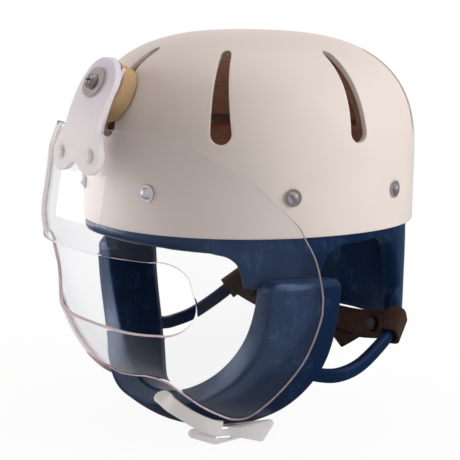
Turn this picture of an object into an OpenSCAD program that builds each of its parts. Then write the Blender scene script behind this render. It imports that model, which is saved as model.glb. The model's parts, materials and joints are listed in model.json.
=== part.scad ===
// Protective head guard: a hard shell with tapered vent slots, a padded skirt and chin guard,
// and a clear face shield whose bracket slides in the front slot.
// Millimetres. The origin is the centre of the shell's lower rim, +Z is up, the face looks along -Y
// and the wearer's left is +X.

/* [Shell] */
// Width of the shell at its rim
shell_w = 220; // [206:1:236]
// Length of the shell at its rim, front to back
shell_l = 250; // [236:1:266]
// Height of the crown above the rim
shell_h = 136.5; // [130:0.5:146]
// Height of the upright band above the rim
band_h = 43.5; // [38:0.5:50]
// Squareness of the plan, where 2 is an ellipse
plan_power = 2.1; // [2:0.05:2.4]
// Squareness of the crown in side view
crown_power = 2.74; // [2.4:0.02:3]
// Wall of the shell
shell_wall = 4; // [3:0.25:5]

/* [Vent slots] */
// Angles of the slots on each side, from the front
side_slots = [42, 96, 140];
// Height of a slot's lower end above the rim
slot_low = 63; // [58:1:68]
// Distance of a slot's upper end below the crown
slot_drop = 12; // [10:0.5:22]
// Width of a slot near its lower end
slot_low_w = 15; // [12:0.5:16]
// Width of a slot near its upper end
slot_top_w = 8; // [7.5:0.5:10]
// Lean of the foremost side slot towards the front, in degrees
slot_lean = 5; // [0:0.5:7]

/* [Shell rivets] */
// Angles of the rivets on each side, from the front
rivet_angles = [19, 68, 117, 165];
// Height of the rivets above the rim
rivet_z = 28; // [22:1:34]
// Diameter of a rivet's domed cap
rivet_cap_d = 8.4; // [7:0.2:10]
// Rise of a rivet's domed cap
rivet_cap_h = 2.4; // [1.8:0.1:3]
// Diameter of a rivet's shank
rivet_shank_d = 3.8; // [3:0.2:4.6]
// Diameter of the flat ring under a rivet's cap
rivet_ring_d = 12; // [11:0.5:14]
// Thickness of the flat ring
rivet_ring_t = 1; // [0.8:0.1:1.5]

/* [Padding] */
// Thickness of the skirt's upstand inside the shell
upstand_t = 4; // [3:0.5:5]
// Height of the skirt's upstand above the rim
upstand_h = 40; // [37:1:42]
// Thickness of the skirt below the rim
skirt_t = 12; // [10:0.5:14]
// Inset of the skirt's face from the shell's face at the front
skirt_inset_front = 1; // [0.5:0.5:3]
// Inset of the skirt's face from the shell's face at the sides and the back
skirt_inset_rear = 4.5; // [3:0.5:6]
// Depth of the skirt below the rim at the nape
nape_drop = 84; // [76:1:90]
// Thickness of the headband pad
headband_t = 12; // [9:0.5:14]
// Height of the headband pad's top above the rim
headband_top = 62; // [56:1:62]
// Thickness of the crown pad
crown_pad_t = 10; // [7:0.5:12]
// Height at which the crown pad's petals end
crown_pad_low = 68; // [66:1:74]

/* [Chin guard] */
// Height of the middle of the face opening
face_z = -20; // [-24:1:-16]
// Width of the face opening at its front
face_w = 191; // [183:1:195]
// Depth of the face opening below its middle
face_h = 101; // [96:1:106]
// Width over the front crease of the chin guard
guard_crease_w = 224; // [220:1:228]
// Depth of the front crease below the middle of the face
guard_crease_h = 109; // [107:1:112]
// Width over the rear of the chin guard
guard_rear_w = 234; // [232:1:235]
// Depth of the rear outer edge below the middle of the face
guard_rear_h = 132; // [128:1:138]
// Radius on the chin guard's edges
guard_edge = 3; // [2:0.5:4]
// Radius on the chin guard's upper ends
guard_end = 7; // [4:0.5:9]

/* [Ear loops] */
// Width of an ear loop's strip
loop_w = 10; // [8:0.5:12]
// Thickness of an ear loop's strip
loop_t = 7; // [5:0.5:8]

/* [Face shield] */
// Thickness of the clear shield
shield_t = 2.8; // [2:0.2:3.4]
// Width of the mouth window in front view
window_w = 184; // [160:1:188]
// Height of the window's upper edge
window_top = -13; // [-18:1:-8]
// Height of the window's lower edge
window_low = -68; // [-74:1:-62]
// Radius of the window's upper corners
window_r_top = 14; // [8:1:18]
// Radius of the window's lower corners
window_r_low = 26; // [16:1:27]

/* [Bracket] */
// Thickness of the bracket plate
bracket_t = 4; // [3:0.5:5]
// Width of the bracket's head
bracket_w = 44; // [42:1:48]
// Height of the bracket's upper edge
bracket_top = 118; // [116:1:120]
// Height of the two lobe rivets
lobe_z = 52; // [49:1:56]
// Distance between the two lobe rivets
lobe_pitch = 36; // [34:1:38]
// Radius of a lobe
lobe_r = 12.5; // [11:0.5:13.5]
// Radius of the arch between the lobes
arch_r = 9; // [6:0.5:10]
// Diameter of a lobe rivet's cap
lobe_cap_d = 10; // [8:0.5:12]

/* [Guard screw] */
// Height at which the screw crosses the shell's face
screw_z = 92; // [90:1:94]
// Diameter of the screw's shank
screw_d = 6; // [5:0.5:6.5]
// Diameter of the screw's head
screw_head_d = 11; // [9:0.5:12]
// Height of the screw's head
screw_head_h = 3.4; // [3:0.2:4.5]
// Diameter of the washer under the head
washer_d = 22; // [18:0.5:23]
// Thickness of that washer
washer_t = 1.6; // [1.2:0.1:2]
// Diameter of the washer inside the shell
inner_washer_d = 18; // [16:0.5:20]
// Width of the lock nut across its flats
nut_af = 10; // [9:0.5:11]
// Height of the lock nut
nut_h = 5; // [4:0.5:6]
// Radius of the arc along which the bracket travels
travel_r = 70; // [70:0.5:72]
// Width of the spacer block
spacer_w = 40; // [34:1:42]
// Height of the spacer block along the shell
spacer_h = 41; // [36:1:43]

/* [Straps] */
// Width of the nape webbing
webbing_w = 21; // [18:1:25]
// Thickness of the nape webbing
webbing_t = 2.2; // [1.6:0.1:2.8]
// Diameter of a snap's cap
snap_d = 12; // [10:0.5:14]
// Width of the chin strap's tongue
tongue_w = 11.5; // [9:0.5:12.5]
// Thickness of the chin strap and its keeper
chin_strap_t = 2; // [1.6:0.1:2.4]

/* [Fits] */
// Gap between curved faces that touch
fit = 0.3; // [0.2:0.05:0.4]
// Clearance of a fastener in its hole
hole_gap = 0.15; // [0.1:0.05:0.3]

/* [Hidden] */
white = "#e0d6d4";
navy = "#12284a";
brown = "#4a3026";
tan_foam = "#b2956f";
steel = "#a9a6a4";
clear_sheet = [0.9, 0.92, 0.95, 0.35];
milky = "#d8d0d8";
round_fn = 48;
dome_sides = 60;
pad_sides = 40;
dome_levels = [0, 22, 43.5, 56, 68, 79, 89, 98, 106, 113, 119, 124, 128, 131.5, 134];
slot_angles = concat([0, 180], side_slots, -side_slots);
rivet_places = concat(rivet_angles, -rivet_angles);
wall_gap = shell_wall + fit;
headband_low = 8;
skirt_shoulder = headband_low - fit;
skirt_round = 3;
inner_washer_t = 1.2;
lobe_shank_d = 4;
washer_drop = 1.6;
bracket_waist = 73;
spacer_gap = 0.9;
travel_side_r = 118;
nut_tail = 2;
slot_top = shell_h - slot_drop;
guard_top = face_z - 8;
guard_over = 7;
// What the rear inner edge of the chin guard adds to the face opening in half width and in depth
guard_flare = [5.5, 7];
// Squareness of the chin guard's front crease and of its rear outer edge
crease_power = 2.4;
guard_power = 2.35;
// Place of each long edge of the chin guard at its ends, how much further to the front it lies at the
// chin, and how late that comes
inner_front_run = [-64, -20, 4];
inner_rear_run = [-21, -38, 4];
outer_rear_run = [-6, -42, 4];
outer_front_run = [-65, -33, 4];
wrap_at = 2.7;
wrap_gap = 1.6;
snap_back = 1.3;

// How far the skirt reaches below the rim at each angle from the front: brow, front post,
// ear opening and nape
skirt_edge = [
    [0, -8], [20, -9], [40, -11], [46, -13.5], [49, -18], [51, -25], [52, guard_top],
    [80.5, guard_top], [82.5, -18.5], [86, -12], [94, -8], [106, -7.5], [115, -7.5], [119, -9.5],
    [123, -14.5], [127, -24], [130, -38], [132, -50], [134, -60], [137, -nape_drop + 8],
    [141, -nape_drop + 2],
    [150, -nape_drop], [180, -nape_drop]];

// Height of the shield's upper edge at the front, and of the tongue that stands on it
shield_brow = 71;
tongue_top = 112;
// What the shield's half width adds to the shell's half width at each height
shield_side = [
    [-135, -16], [-113, -3], [-91, 4], [-60, 9.9], [-30, 11.6], [0, 10.6], [40, 9], [80, 4],
    [106, -10], [120, -20]];
// What the shield's reach to the front adds to the shell's at each height
shield_reach = [
    [-135, -41], [-113, -18], [-91, -1], [-60, 13.5], [-30, 22], [0, 28], [12, 27.5], [23, 25.5],
    [40, 23], [55, 21.5], [72, 17.5], [93, 9.5], [106, 3], [120, -5]];
// The shield's upper edge at each angle from the front, beside the tongue under the bracket
shield_upper = [
    [0, shield_brow], [17, shield_brow], [25, 69.5], [31, 66], [37, 61.5], [43.5, 54.5], [53, 42],
    [60, 27.5], [68.5, 10], [70.5, 3], [75, -14.5], [77.3, -32], [78, -40]];
// The shield's lower edge at each angle from the front
shield_lower = [
    [0, -107], [10, -104], [19, -101], [26, -103], [30, -109], [36.6, -120], [42, -126],
    [48, -130], [54, -128], [60, -118], [68, -99], [72.7, -85], [75, -74], [77, -61], [78, -52]];
tongue_angles = [-7.8, -3.9, 0, 3.9, 7.8];
shield_angles = [0, 3.9, 7.8, 11.4, 15, 19, 23, 27, 31, 35, 39, 43, 47, 51, 55, 59, 63, 67,
    70, 73, 75.5, 77.3, 78];
shield_rows = 12;

// Centre line of the left ear loop, from the nape to the chin guard
loop_route = [
    [78, 77, -50], [84, 73, -59], [91, 67.5, -67], [97.5, 57.5, -76], [101, 42, -86.5],
    [103.5, 22, -97], [103.5, 4, -101], [99, -9, -100.5], [92, -22, -97]];
// Centre line of the nape webbing's left half, from the middle of the nape to the ear loop
nape_route = [[0, 62, -81], [30, 62, -80.5], [58, 61.5, -79], [80, 61.5, -75.5], [94, 61, -71.5]];

// Centre line of the chin strap's tongue from its tip, and the way its face points there
tongue_route = [[16.9, -91.2, -121.2], [27.6, -92, -122.2], [38.2, -93.8, -123.7],
    [45.7, -89.4, -128.1], [50.7, -80.7, -134.3], [54.4, -71.1, -139.4], [56.2, -63, -141.6]];
tongue_facing = [[0.15, -0.5, 0.85], [0.2, -0.62, 0.75], [0.38, -0.9, 0.2], [0.52, -0.84, -0.1],
    [0.7, -0.7, -0.15], [0.85, -0.5, -0.05], [0.93, -0.35, 0]];
// Middle of the strap's keeper and its turn about the upright
keeper_place = [54, -63, -145];
keeper_turn = 69.4;

// Sign of a number
function side_of(v) = v < 0 ? -1 : 1;
// Unit vector
function unit(v) = v / norm(v);
// Slope of the table L at its row i
function slope(L, i) =
    i == 0 ? (L[1][1] - L[0][1]) / (L[1][0] - L[0][0])
    : i == len(L) - 1 ? (L[i][1] - L[i - 1][1]) / (L[i][0] - L[i - 1][0])
    : (L[i + 1][1] - L[i - 1][1]) / (L[i + 1][0] - L[i - 1][0]);
// Row of the table L after which x lies
function row_of(L, x, i = 0) = i >= len(L) - 2 || x < L[i + 1][0] ? i : row_of(L, x, i + 1);
// Smooth curve through the rows of the table L
function along(L, x) =
    let (i = row_of(L, x), h = L[i + 1][0] - L[i][0], t = min(1, max(0, (x - L[i][0]) / h)))
    L[i][1] * (1 + 2 * t) * (1 - t) * (1 - t) + slope(L, i) * h * t * (1 - t) * (1 - t)
    + L[i + 1][1] * t * t * (3 - 2 * t) + slope(L, i + 1) * h * t * t * (t - 1);
// Smooth route through the points P at t, which runs from 0 to the last point's number
function on_route(P, t) = [for (k = [0:2]) along([for (i = [0:len(P) - 1]) [i, P[i][k]]], t)];

// Distance from the middle to a squared oval at an angle from the front
function oval_r(th, a, b, n) = pow(pow(abs(sin(th)) / a, n) + pow(abs(cos(th)) / b, n), -1 / n);
// Point of a squared oval at an angle from the front
function oval(th, a, b, n) = oval_r(th, a, b, n) * [sin(th), -cos(th)];
// Direction in which that oval faces there, as an angle from the front
function oval_yaw(th, a, b, n) =
    let (p = oval(th, a, b, n))
    atan2(side_of(p[0]) * pow(abs(p[0]), n - 1) / pow(a, n),
          -side_of(p[1]) * pow(abs(p[1]), n - 1) / pow(b, n));

// Share of the rim's plan that is left at height z under a crown of height h
function crown(z, h) =
    z <= band_h ? 1 : pow(max(0, 1 - pow((z - band_h) / (h - band_h), crown_power)), 1 / crown_power);
// Outline of the shell at height z, drawn in by an inset
function dome_ring(z, inset, sides) =
    [for (i = [0:sides - 1]) shell_point(360 * i / sides, z, inset)];
// Point of the shell's face at an angle and a height
function shell_point(th, z, inset = 0) =
    let (k = crown(z, shell_h - inset),
         q = oval(th, (shell_w / 2 - inset) * k, (shell_l / 2 - inset) * k, plan_power))
    [q[0], q[1], z];
// Reach of the shell to the front at height z
function shell_front(z) = shell_l / 2 * crown(z, shell_h);

// Squareness of the shield's plan at height z
function shield_power(z) = max(2, min(2.6, 2.6 - 0.6 * (z - 50) / 50));
// Half width of the shield at height z: it clears the shell above and the chin guard below
function shield_half(z) = along(shield_side, z)
    + lookup(z, [[guard_top, guard_rear_w / 2 - guard_over], [band_h / 2, shell_w / 2]]);
// Reach of the shield to the front at height z
function shield_deep(z) = shell_l / 2 + along(shield_reach, z);
// Point of the shield's outer face, moved out by a distance
function shield_point(th, z, out = 0) =
    let (q = oval(th, shield_half(z) + out, shield_deep(z) + out, shield_power(z))) [q[0], q[1], z];
// How far to the front that face lies, beside the middle by x
function shield_front(x, z, out = 0) =
    let (n = shield_power(z))
    (shield_deep(z) + out) * pow(1 - pow(abs(x) / (shield_half(z) + out), n), 1 / n);
// Upward tilt of the shield's face at the front
function shield_tilt(z) = atan(along(shield_reach, z - 1) / 2 - along(shield_reach, z + 1) / 2);

// Where the screw crosses the shell's face, its tilt, and the centre of the travel arc
screw_seat = [0, -shell_front(screw_z), screw_z];
screw_tilt = atan(shell_front(screw_z - 0.5) - shell_front(screw_z + 0.5));
travel_centre = screw_seat + travel_r * [0, cos(screw_tilt), -sin(screw_tilt)];
// Distance along the screw from the shell's face to the shield's face moved out, beside the screw
function stand_at(x, up, out, s = 16, tries = 8) =
    tries == 0 ? s
    : let (z = screw_z + up * cos(screw_tilt) + s * sin(screw_tilt),
           y = -screw_seat[1] - up * sin(screw_tilt) + s * cos(screw_tilt))
      stand_at(x, up, out, s + 0.9 * (shield_front(x, z, out) - y), tries - 1);
// The highest point of the bracket's outer face under the washer
bracket_face = max([for (r = washer_d * [0.2, 0.3, 0.4, 0.5], a = [0:15:345])
    stand_at(r * cos(a), r * sin(a), fit + bracket_t)]) + fit / 2;
head_seat = bracket_face + washer_t + fit;
screw_tip = -shell_wall - washer_drop - inner_washer_t - nut_h - nut_tail;

// Solid between rings of points that lie one above the other, with flat ends
module loft(rings) {
    m = len(rings);
    n = len(rings[0]);
    polyhedron(
        points = [for (r = rings) each r],
        faces = concat(
            [[for (j = [0:n - 1]) j], [for (j = [n - 1:-1:0]) (m - 1) * n + j]],
            [for (i = [0:m - 2], j = [0:n - 1]) [i * n + j, (i + 1) * n + j, (i + 1) * n + (j + 1) % n]],
            [for (i = [0:m - 2], j = [0:n - 1]) [i * n + j, (i + 1) * n + (j + 1) % n, i * n + (j + 1) % n]]));
}

// Solid between closed sections that follow each other all the way round
module ring_loft(sections) {
    m = len(sections);
    n = len(sections[0]);
    polyhedron(
        points = [for (s = sections) each s],
        faces = concat(
            [for (i = [0:m - 1], j = [0:n - 1])
                [i * n + j, ((i + 1) % m) * n + j, ((i + 1) % m) * n + (j + 1) % n]],
            [for (i = [0:m - 1], j = [0:n - 1])
                [i * n + j, ((i + 1) % m) * n + (j + 1) % n, i * n + (j + 1) % n]]));
}

// Frame on a face: local +Z points out of the face
module facing(p, yaw, tilt = 0) {
    translate(p) rotate([0, 0, yaw]) rotate([90 - tilt, 0, 0]) children();
}

// Frame on the guard screw: local +Z runs out of the shell
module at_screw() {
    facing(screw_seat, 0, screw_tilt) children();
}

// Solid dome inside the shell's face, between two heights
module dome(inset, z_low, z_high, sides = dome_sides, skip = 1) {
    top = min(z_high, shell_h - inset - 0.4);
    levels = concat([z_low], [for (i = [0:skip:len(dome_levels) - 1])
        let (z = dome_levels[i] * (shell_h - inset) / shell_h) if (z > z_low + 1 && z < top - 1) z], [top]);
    loft([for (z = levels) dome_ring(z, inset, sides)]);
}

// Outline of a vent slot in side view, widened on each side
module slot_outline(grow = 0) {
    r_low = slot_low_w / 2 + grow;
    r_top = slot_top_w / 2 + grow;
    z_low = slot_low + slot_low_w / 2;
    z_top = slot_top - slot_top_w / 2;
    translate([0, z_low]) circle(r_low, $fn = 24);
    translate([0, z_top]) circle(r_top, $fn = 24);
    polygon([[-r_low, z_low], [r_low, z_low], [r_top, z_top], [-r_top, z_top]]);
}

// Cutter for one vent slot at an angle from the front
module slot_cut(th, grow = 0) {
    middle = (slot_low + slot_top) / 2;
    lean = abs(th) == side_slots[0] ? side_of(th) * slot_lean : 0;
    rotate([0, 0, th]) rotate([90, 0, 0]) translate([0, middle, 20]) linear_extrude(shell_l)
        rotate(lean) translate([0, -middle]) slot_outline(grow);
}

// Things set at each shell rivet, with local +Z out of the shell
module at_rivet(i) {
    th = rivet_places[i];
    facing(shell_point(th, rivet_z), oval_yaw(th, shell_w / 2, shell_l / 2, plan_power)) children();
}

module outer_shell() {
    color(white) difference() {
        dome(0, 0, shell_h);
        translate([0, 0, -1]) dome(shell_wall, 0, 2);
        dome(shell_wall, 0.5, shell_h);
        for (th = slot_angles) slot_cut(th);
        for (i = [0:7]) at_rivet(i)
            translate([0, 0, -15]) cylinder(d = rivet_shank_d + 2 * hole_gap, h = 30, $fn = 16);
    }
}

// Section of the skirt at one angle: upstand, shoulder and the padded part below the rim
function skirt_section(th) =
    let (back = pow((1 - cos(th)) / 2, 1.4),
         face = skirt_inset_front + (skirt_inset_rear - skirt_inset_front) * min(1, 2.4 * back),
         low = lookup(abs(th), skirt_edge), inner = face + skirt_t,
         profile = [
            [face, low + skirt_round], [face + skirt_round, low], [inner - skirt_round, low],
            [inner, low + skirt_round], [inner, skirt_shoulder], [wall_gap + upstand_t, skirt_shoulder],
            [wall_gap + upstand_t, upstand_h], [wall_gap, upstand_h], [wall_gap, -fit], [face, -fit]])
    [for (p = profile)
        let (q = oval(th, shell_w / 2 - p[0], shell_l / 2 - p[0], plan_power)) [q[0], q[1], p[1]]];

skirt_half = concat([for (a = [6:6:42]) a], [45, 47.5, 49, 51, 52, 56], [for (a = [62:6:74]) a],
    [78, 80.5, 82.5, 86, 90, 94, 100, 106, 111, 115, 118, 121, 123.5, 126, 129, 132, 134, 137, 141],
    [for (a = [147:6:177]) a]);

module skirt_form() {
    ring_loft([for (th = concat([0], skirt_half, [180], [for (i = [len(skirt_half) - 1:-1:0])
        -skirt_half[i]])) skirt_section(th)]);
}

module skirt_liner() {
    color(navy) difference() {
        skirt_form();
        for (i = [0:7]) at_rivet(i) translate([0, 0, -15])
            cylinder(d = rivet_shank_d + 2 * hole_gap, h = 30, $fn = 16);
    }
}

// Ring pad behind the forehead, temples and back of the head
module headband_pad() {
    inset = wall_gap + upstand_t + fit;
    color(brown) difference() {
        dome(inset, headband_low, headband_top, pad_sides);
        dome(inset + headband_t, headband_low - 1, headband_top + 1, pad_sides, 2);
        for (i = [0:7]) at_rivet(i)
            translate([0, 0, -inset - 3]) cylinder(d = rivet_cap_d, h = 6, $fn = 16);
    }
}

// Pad under the crown, cut back behind every slot
module crown_pad() {
    color(brown) difference() {
        dome(wall_gap, crown_pad_low, shell_h, pad_sides, 2);
        dome(wall_gap + crown_pad_t, crown_pad_low - 1, shell_h, pad_sides, 2);
        for (th = slot_angles) if (th != 0) slot_cut(th, 3);
        slot_cut(0, inner_washer_d / 2 - 1);
        translate([0, 0, crown_pad_low / 2]) rotate([90, 0, 0])
            linear_extrude(shell_l) translate([-inner_washer_d / 2 - 2, 0])
                square([inner_washer_d + 4, slot_low]);
    }
}

// Curve of the chin guard at an angle from the near end, through the chin at 90, to the far end
function guard_curve(ph, half, deep, n, y) =
    let (c = cos(ph), s = sin(ph))
    [half * side_of(c) * pow(abs(c), 2 / n), y, face_z - deep * pow(s, 2 / n)];
// Place of one of its long edges from front to back
function run_at(run, ph) = run[0] + run[1] * pow(sin(ph), run[2]);
// Corners of the chin guard's section: front inner, rear inner, rear outer, front outer
function guard_corners(ph) = [
    guard_curve(ph, face_w / 2, face_h, 2, run_at(inner_front_run, ph)),
    guard_curve(ph, face_w / 2 + guard_flare[0], face_h + guard_flare[1], 2, run_at(inner_rear_run, ph)),
    guard_curve(ph, guard_rear_w / 2, guard_rear_h, guard_power, run_at(outer_rear_run, ph)),
    guard_curve(ph, guard_crease_w / 2, guard_crease_h, crease_power, run_at(outer_front_run, ph))];
// The same section with its edges eased and its sides a little full, drawn in towards its middle
function guard_section(ph, draw) =
    let (c = guard_corners(ph), mid = (c[0] + c[1] + c[2] + c[3]) / 4)
    [for (i = [0:3])
        let (a = c[i], next = c[(i + 1) % 4], run = unit(next - a), full = norm(next - a),
             centre = (a + next) / 2,
             swell = unit(centre - mid) * full * (i == 2 ? 0.004 + 0.076 * pow(sin(ph), 4) : 0.02))
        each [for (p = [a + run * guard_edge, centre + swell, next - run * guard_edge])
            p - unit(p - mid) * min(draw, norm(p - mid) * 0.6)]];
// Flat section near the guard's top, a step below it
function guard_lid(draw, step) = [for (p = guard_section(3, draw)) [p[0], p[1], guard_top - step]];
guard_steps = concat([8.5, 10.5, 13], [for (a = [18:5.5:84]) a]);

module guard_form() {
    half = concat([guard_lid(guard_end, 0), guard_lid(guard_end * 0.35, guard_end * 0.35),
        guard_lid(0, guard_end * 0.9)], [for (a = guard_steps) guard_section(a, 0)]);
    far = [for (i = [len(half) - 1:-1:0]) [for (p = half[i]) [-p[0], p[1], p[2]]]];
    loft(concat(half, [guard_section(90, 0)], far));
}

module chin_guard() {
    color(navy) guard_form();
}

// Sections of a strip w wide and t thick along a route, flat against a direction
function strip_sections(P, w, t, flat, sides = 8) =
    [for (i = [0:len(P) - 1])
        let (run = unit(P[min(i + 1, len(P) - 1)] - P[max(i - 1, 0)]),
             up = unit(flat[i] - (flat[i] * run) * run), across = cross(run, up))
        [for (k = [0:sides - 1])
            let (a = -360 * (k + 0.5) / sides, c = cos(a), s = sin(a), g = 0.45)
            P[i] + across * (w / 2 * side_of(c) * pow(abs(c), g)) + up * (t / 2 * side_of(s) * pow(abs(s), g))]];

module ear_loop_form() {
    steps = 18;
    last = len(loop_route) - 1;
    P = [for (i = [0:steps]) on_route(loop_route, last * i / steps)];
    loft(strip_sections(P, loop_w, loop_t, [for (p = P) [p[0], p[1], 0]]));
}

module ear_loop() {
    color(navy) difference() {
        ear_loop_form();
        for (s = [0, 1]) mirror([s, 0, 0]) {
            guard_form();
            skirt_form();
        }
    }
}

module shell_rivet(i) {
    shank = shell_wall + upstand_t + 2 * fit;
    color(steel) at_rivet(i) {
        translate([0, 0, rivet_ring_t + fit]) rotate_extrude($fn = 32) intersection() {
            translate([0, rivet_cap_h - pow(rivet_cap_d, 2) / 8 / rivet_cap_h - rivet_cap_h / 2])
                circle(pow(rivet_cap_d, 2) / 8 / rivet_cap_h + rivet_cap_h / 2, $fn = 96);
            square([rivet_cap_d / 2, rivet_cap_h]);
        }
        translate([0, 0, -shank]) cylinder(d = rivet_shank_d, h = shank + rivet_ring_t + fit, $fn = 24);
        translate([0, 0, -shank - 1]) cylinder(d = rivet_cap_d - 1.6, h = 1, $fn = 24);
    }
}

module rivet_ring(i) {
    color(steel) at_rivet(i) translate([0, 0, fit]) difference() {
        cylinder(d = rivet_ring_d, h = rivet_ring_t, $fn = round_fn);
        translate([0, 0, -1]) cylinder(d = rivet_shank_d + 2 * hole_gap, h = rivet_ring_t + 2, $fn = 24);
    }
}

// Part of the shield between its edges, from one offset to another, along a list of angles
module shield_band(angles, lower, upper, inner, outer, rows) {
    loft([for (th = angles)
        let (z0 = lookup(abs(th), lower), z1 = lookup(abs(th), upper))
        concat([for (k = [0:rows]) shield_point(th, z0 + (z1 - z0) * k / rows, inner)],
               [for (k = [rows:-1:0]) shield_point(th, z0 + (z1 - z0) * k / rows, outer)])]);
}

// Mouth window in front view
module window_outline() {
    hull() {
        for (s = [-1, 1]) {
            translate([s * (window_w / 2 - window_r_top - 1), window_top - window_r_top])
                circle(window_r_top, $fn = 40);
            translate([s * (window_w / 2 - window_r_low), window_low + 2 + window_r_low])
                circle(window_r_low, $fn = 48);
        }
        translate([-20, window_low]) square([40, 1]);
    }
}

module face_shield() {
    half = shield_angles;
    angles = concat([for (i = [len(half) - 1:-1:1]) -half[i]], half);
    color(clear_sheet) difference() {
        union() {
            shield_band(angles, shield_lower, shield_upper, -shield_t, 0, shield_rows);
            shield_band(tongue_angles, [[0, shield_brow], [90, shield_brow]],
                [[0, tongue_top], [90, tongue_top]], -shield_t, 0, 10);
        }
        rotate([90, 0, 0]) translate([0, 0, 60]) linear_extrude(shell_l) window_outline();
        screw_hole();
        for (s = [-1, 1]) at_lobe(s) lobe_hole();
    }
}

// Hole along the guard screw
module screw_hole() {
    at_screw() translate([0, 0, screw_tip - 5]) cylinder(d = screw_d + 2 * hole_gap, h = 60, $fn = 32);
}

// Frame on a lobe rivet: local +Z runs out of the shield's face
module at_lobe(s) {
    th = s * asin(lobe_pitch / 2 / shield_deep(lobe_z));
    facing(shield_point(th, lobe_z), oval_yaw(th, shield_half(lobe_z), shield_deep(lobe_z),
        shield_power(lobe_z)), shield_tilt(lobe_z)) children();
}

module lobe_hole() {
    translate([0, 0, -12]) cylinder(d = lobe_shank_d + 2 * hole_gap, h = 24, $fn = 24);
}

// Bracket plate in front view
module bracket_outline() {
    difference() {
        union() {
            hull() {
                translate([0, bracket_top - bracket_w / 2]) circle(bracket_w / 2, $fn = 64);
                translate([-bracket_w / 2 + 2, bracket_waist]) square([bracket_w - 4, 1]);
            }
            hull() {
                translate([-bracket_w / 2 + 2, bracket_waist]) square([bracket_w - 4, 1]);
                for (s = [-1, 1]) translate([s * lobe_pitch / 2, lobe_z]) circle(lobe_r, $fn = 40);
            }
        }
        translate([0, lobe_z - lobe_r - 2]) circle(arch_r, $fn = 40);
    }
}

module guard_bracket() {
    low = lobe_z - lobe_r - 2;
    color(milky) difference() {
        intersection() {
            shield_band([for (a = [-16:2:16]) a], [[0, low], [90, low]], [[0, 120], [90, 120]],
                fit, fit + bracket_t, 14);
            rotate([90, 0, 0]) translate([0, 0, 60]) linear_extrude(shell_l) bracket_outline();
        }
        screw_hole();
        for (s = [-1, 1]) at_lobe(s) lobe_hole();
    }
}

// Distance from the travel arc's axis to the spacer's inner face, beside the middle by x
function travel_reach(x) =
    travel_r + spacer_gap - travel_side_r + sqrt(travel_side_r * travel_side_r - x * x);
// Column of the spacer: its outer face lies on the shield, its inner face turns about the travel centre
function spacer_column(x) = concat(
    [for (z = [shield_brow - 7:4:120]) [x, -shield_front(x, z, -shield_t - fit), z]],
    [for (t = [48:-4:4]) travel_centre + [x, -travel_reach(x) * cos(t), travel_reach(x) * sin(t)]]);

// Foam block between the shell and the shield's tongue
module spacer_block() {
    color(tan_foam) difference() {
        intersection() {
            at_screw() translate([0, 0, -6]) linear_extrude(30) hull() for (s = [-1, 1])
                translate([0, s * (spacer_h - spacer_w) / 2]) circle(d = spacer_w, $fn = round_fn);
            loft([for (k = [8:-1:-8]) spacer_column(k * (spacer_w + 8) / 16)]);
        }
        screw_hole();
    }
}

module guard_screw() {
    color(steel) at_screw() {
        translate([0, 0, screw_tip]) cylinder(d = screw_d, h = head_seat - screw_tip, $fn = 32);
        translate([0, 0, head_seat]) difference() {
            union() {
                cylinder(d = screw_head_d, h = screw_head_h * 0.55, $fn = round_fn);
                translate([0, 0, screw_head_h * 0.55]) cylinder(d1 = screw_head_d,
                    d2 = screw_head_d * 0.6, h = screw_head_h * 0.45, $fn = round_fn);
            }
            for (a = [0, 90]) rotate([0, 0, a]) translate([-screw_head_d * 0.3, -0.7, screw_head_h * 0.4])
                cube([screw_head_d * 0.6, 1.4, screw_head_h]);
        }
    }
}

module screw_washer() {
    color(steel) at_screw() translate([0, 0, bracket_face]) difference() {
        cylinder(d = washer_d, h = washer_t, $fn = round_fn);
        translate([0, 0, -1]) cylinder(d = screw_d + 2 * hole_gap, h = washer_t + 2, $fn = 32);
    }
}

module inner_washer() {
    color(steel) at_screw() translate([0, 0, -shell_wall - washer_drop - inner_washer_t]) difference() {
        cylinder(d = inner_washer_d, h = inner_washer_t, $fn = round_fn);
        translate([0, 0, -1]) cylinder(d = screw_d + 2 * hole_gap, h = inner_washer_t + 2, $fn = 32);
    }
}

module lock_nut() {
    color(steel) at_screw() translate([0, 0, screw_tip + nut_tail - fit]) difference() {
        union() {
            cylinder(d = nut_af / cos(30), h = nut_h * 0.75, $fn = 6);
            cylinder(d = nut_af * 0.9, h = nut_h, $fn = 32);
        }
        translate([0, 0, -1]) cylinder(d = screw_d + 2 * hole_gap, h = nut_h + 2, $fn = 32);
    }
}

module bracket_rivet(s) {
    cap_h = 2;
    color(milky) at_lobe(s) {
        translate([0, 0, bracket_t + 2 * fit]) cylinder(d1 = lobe_cap_d, d2 = lobe_cap_d * 0.7, h = cap_h, $fn = round_fn);
        translate([0, 0, -shield_t - 3]) cylinder(d = lobe_shank_d, h = shield_t + 3 + bracket_t + 2 * fit, $fn = 24);
    }
}

module rivet_backing(s) {
    color(steel) at_lobe(s) translate([0, 0, -shield_t - 2.6]) difference() {
        cylinder(d = lobe_cap_d + 1, h = 1.8, $fn = round_fn);
        translate([0, 0, -1]) cylinder(d = lobe_shank_d + 2 * hole_gap, h = 5, $fn = 24);
    }
}

// Oval bar along the left ear loop where the webbing wraps it, wider than the loop by a gap
module webbing_wrap(gap, reach) {
    p = on_route(loop_route, wrap_at);
    run = unit(on_route(loop_route, wrap_at + 0.4) - on_route(loop_route, wrap_at - 0.4));
    loft(strip_sections([p - run * reach / 2, p + run * reach / 2], loop_w + gap, loop_t + gap,
        [[p[0], p[1], 0], [p[0], p[1], 0]]));
}

// Direction in which the back of the webbing faces, away from a line in front of the neck
function nape_back(p) = [p[0], p[1] + 12, 0];
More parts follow.
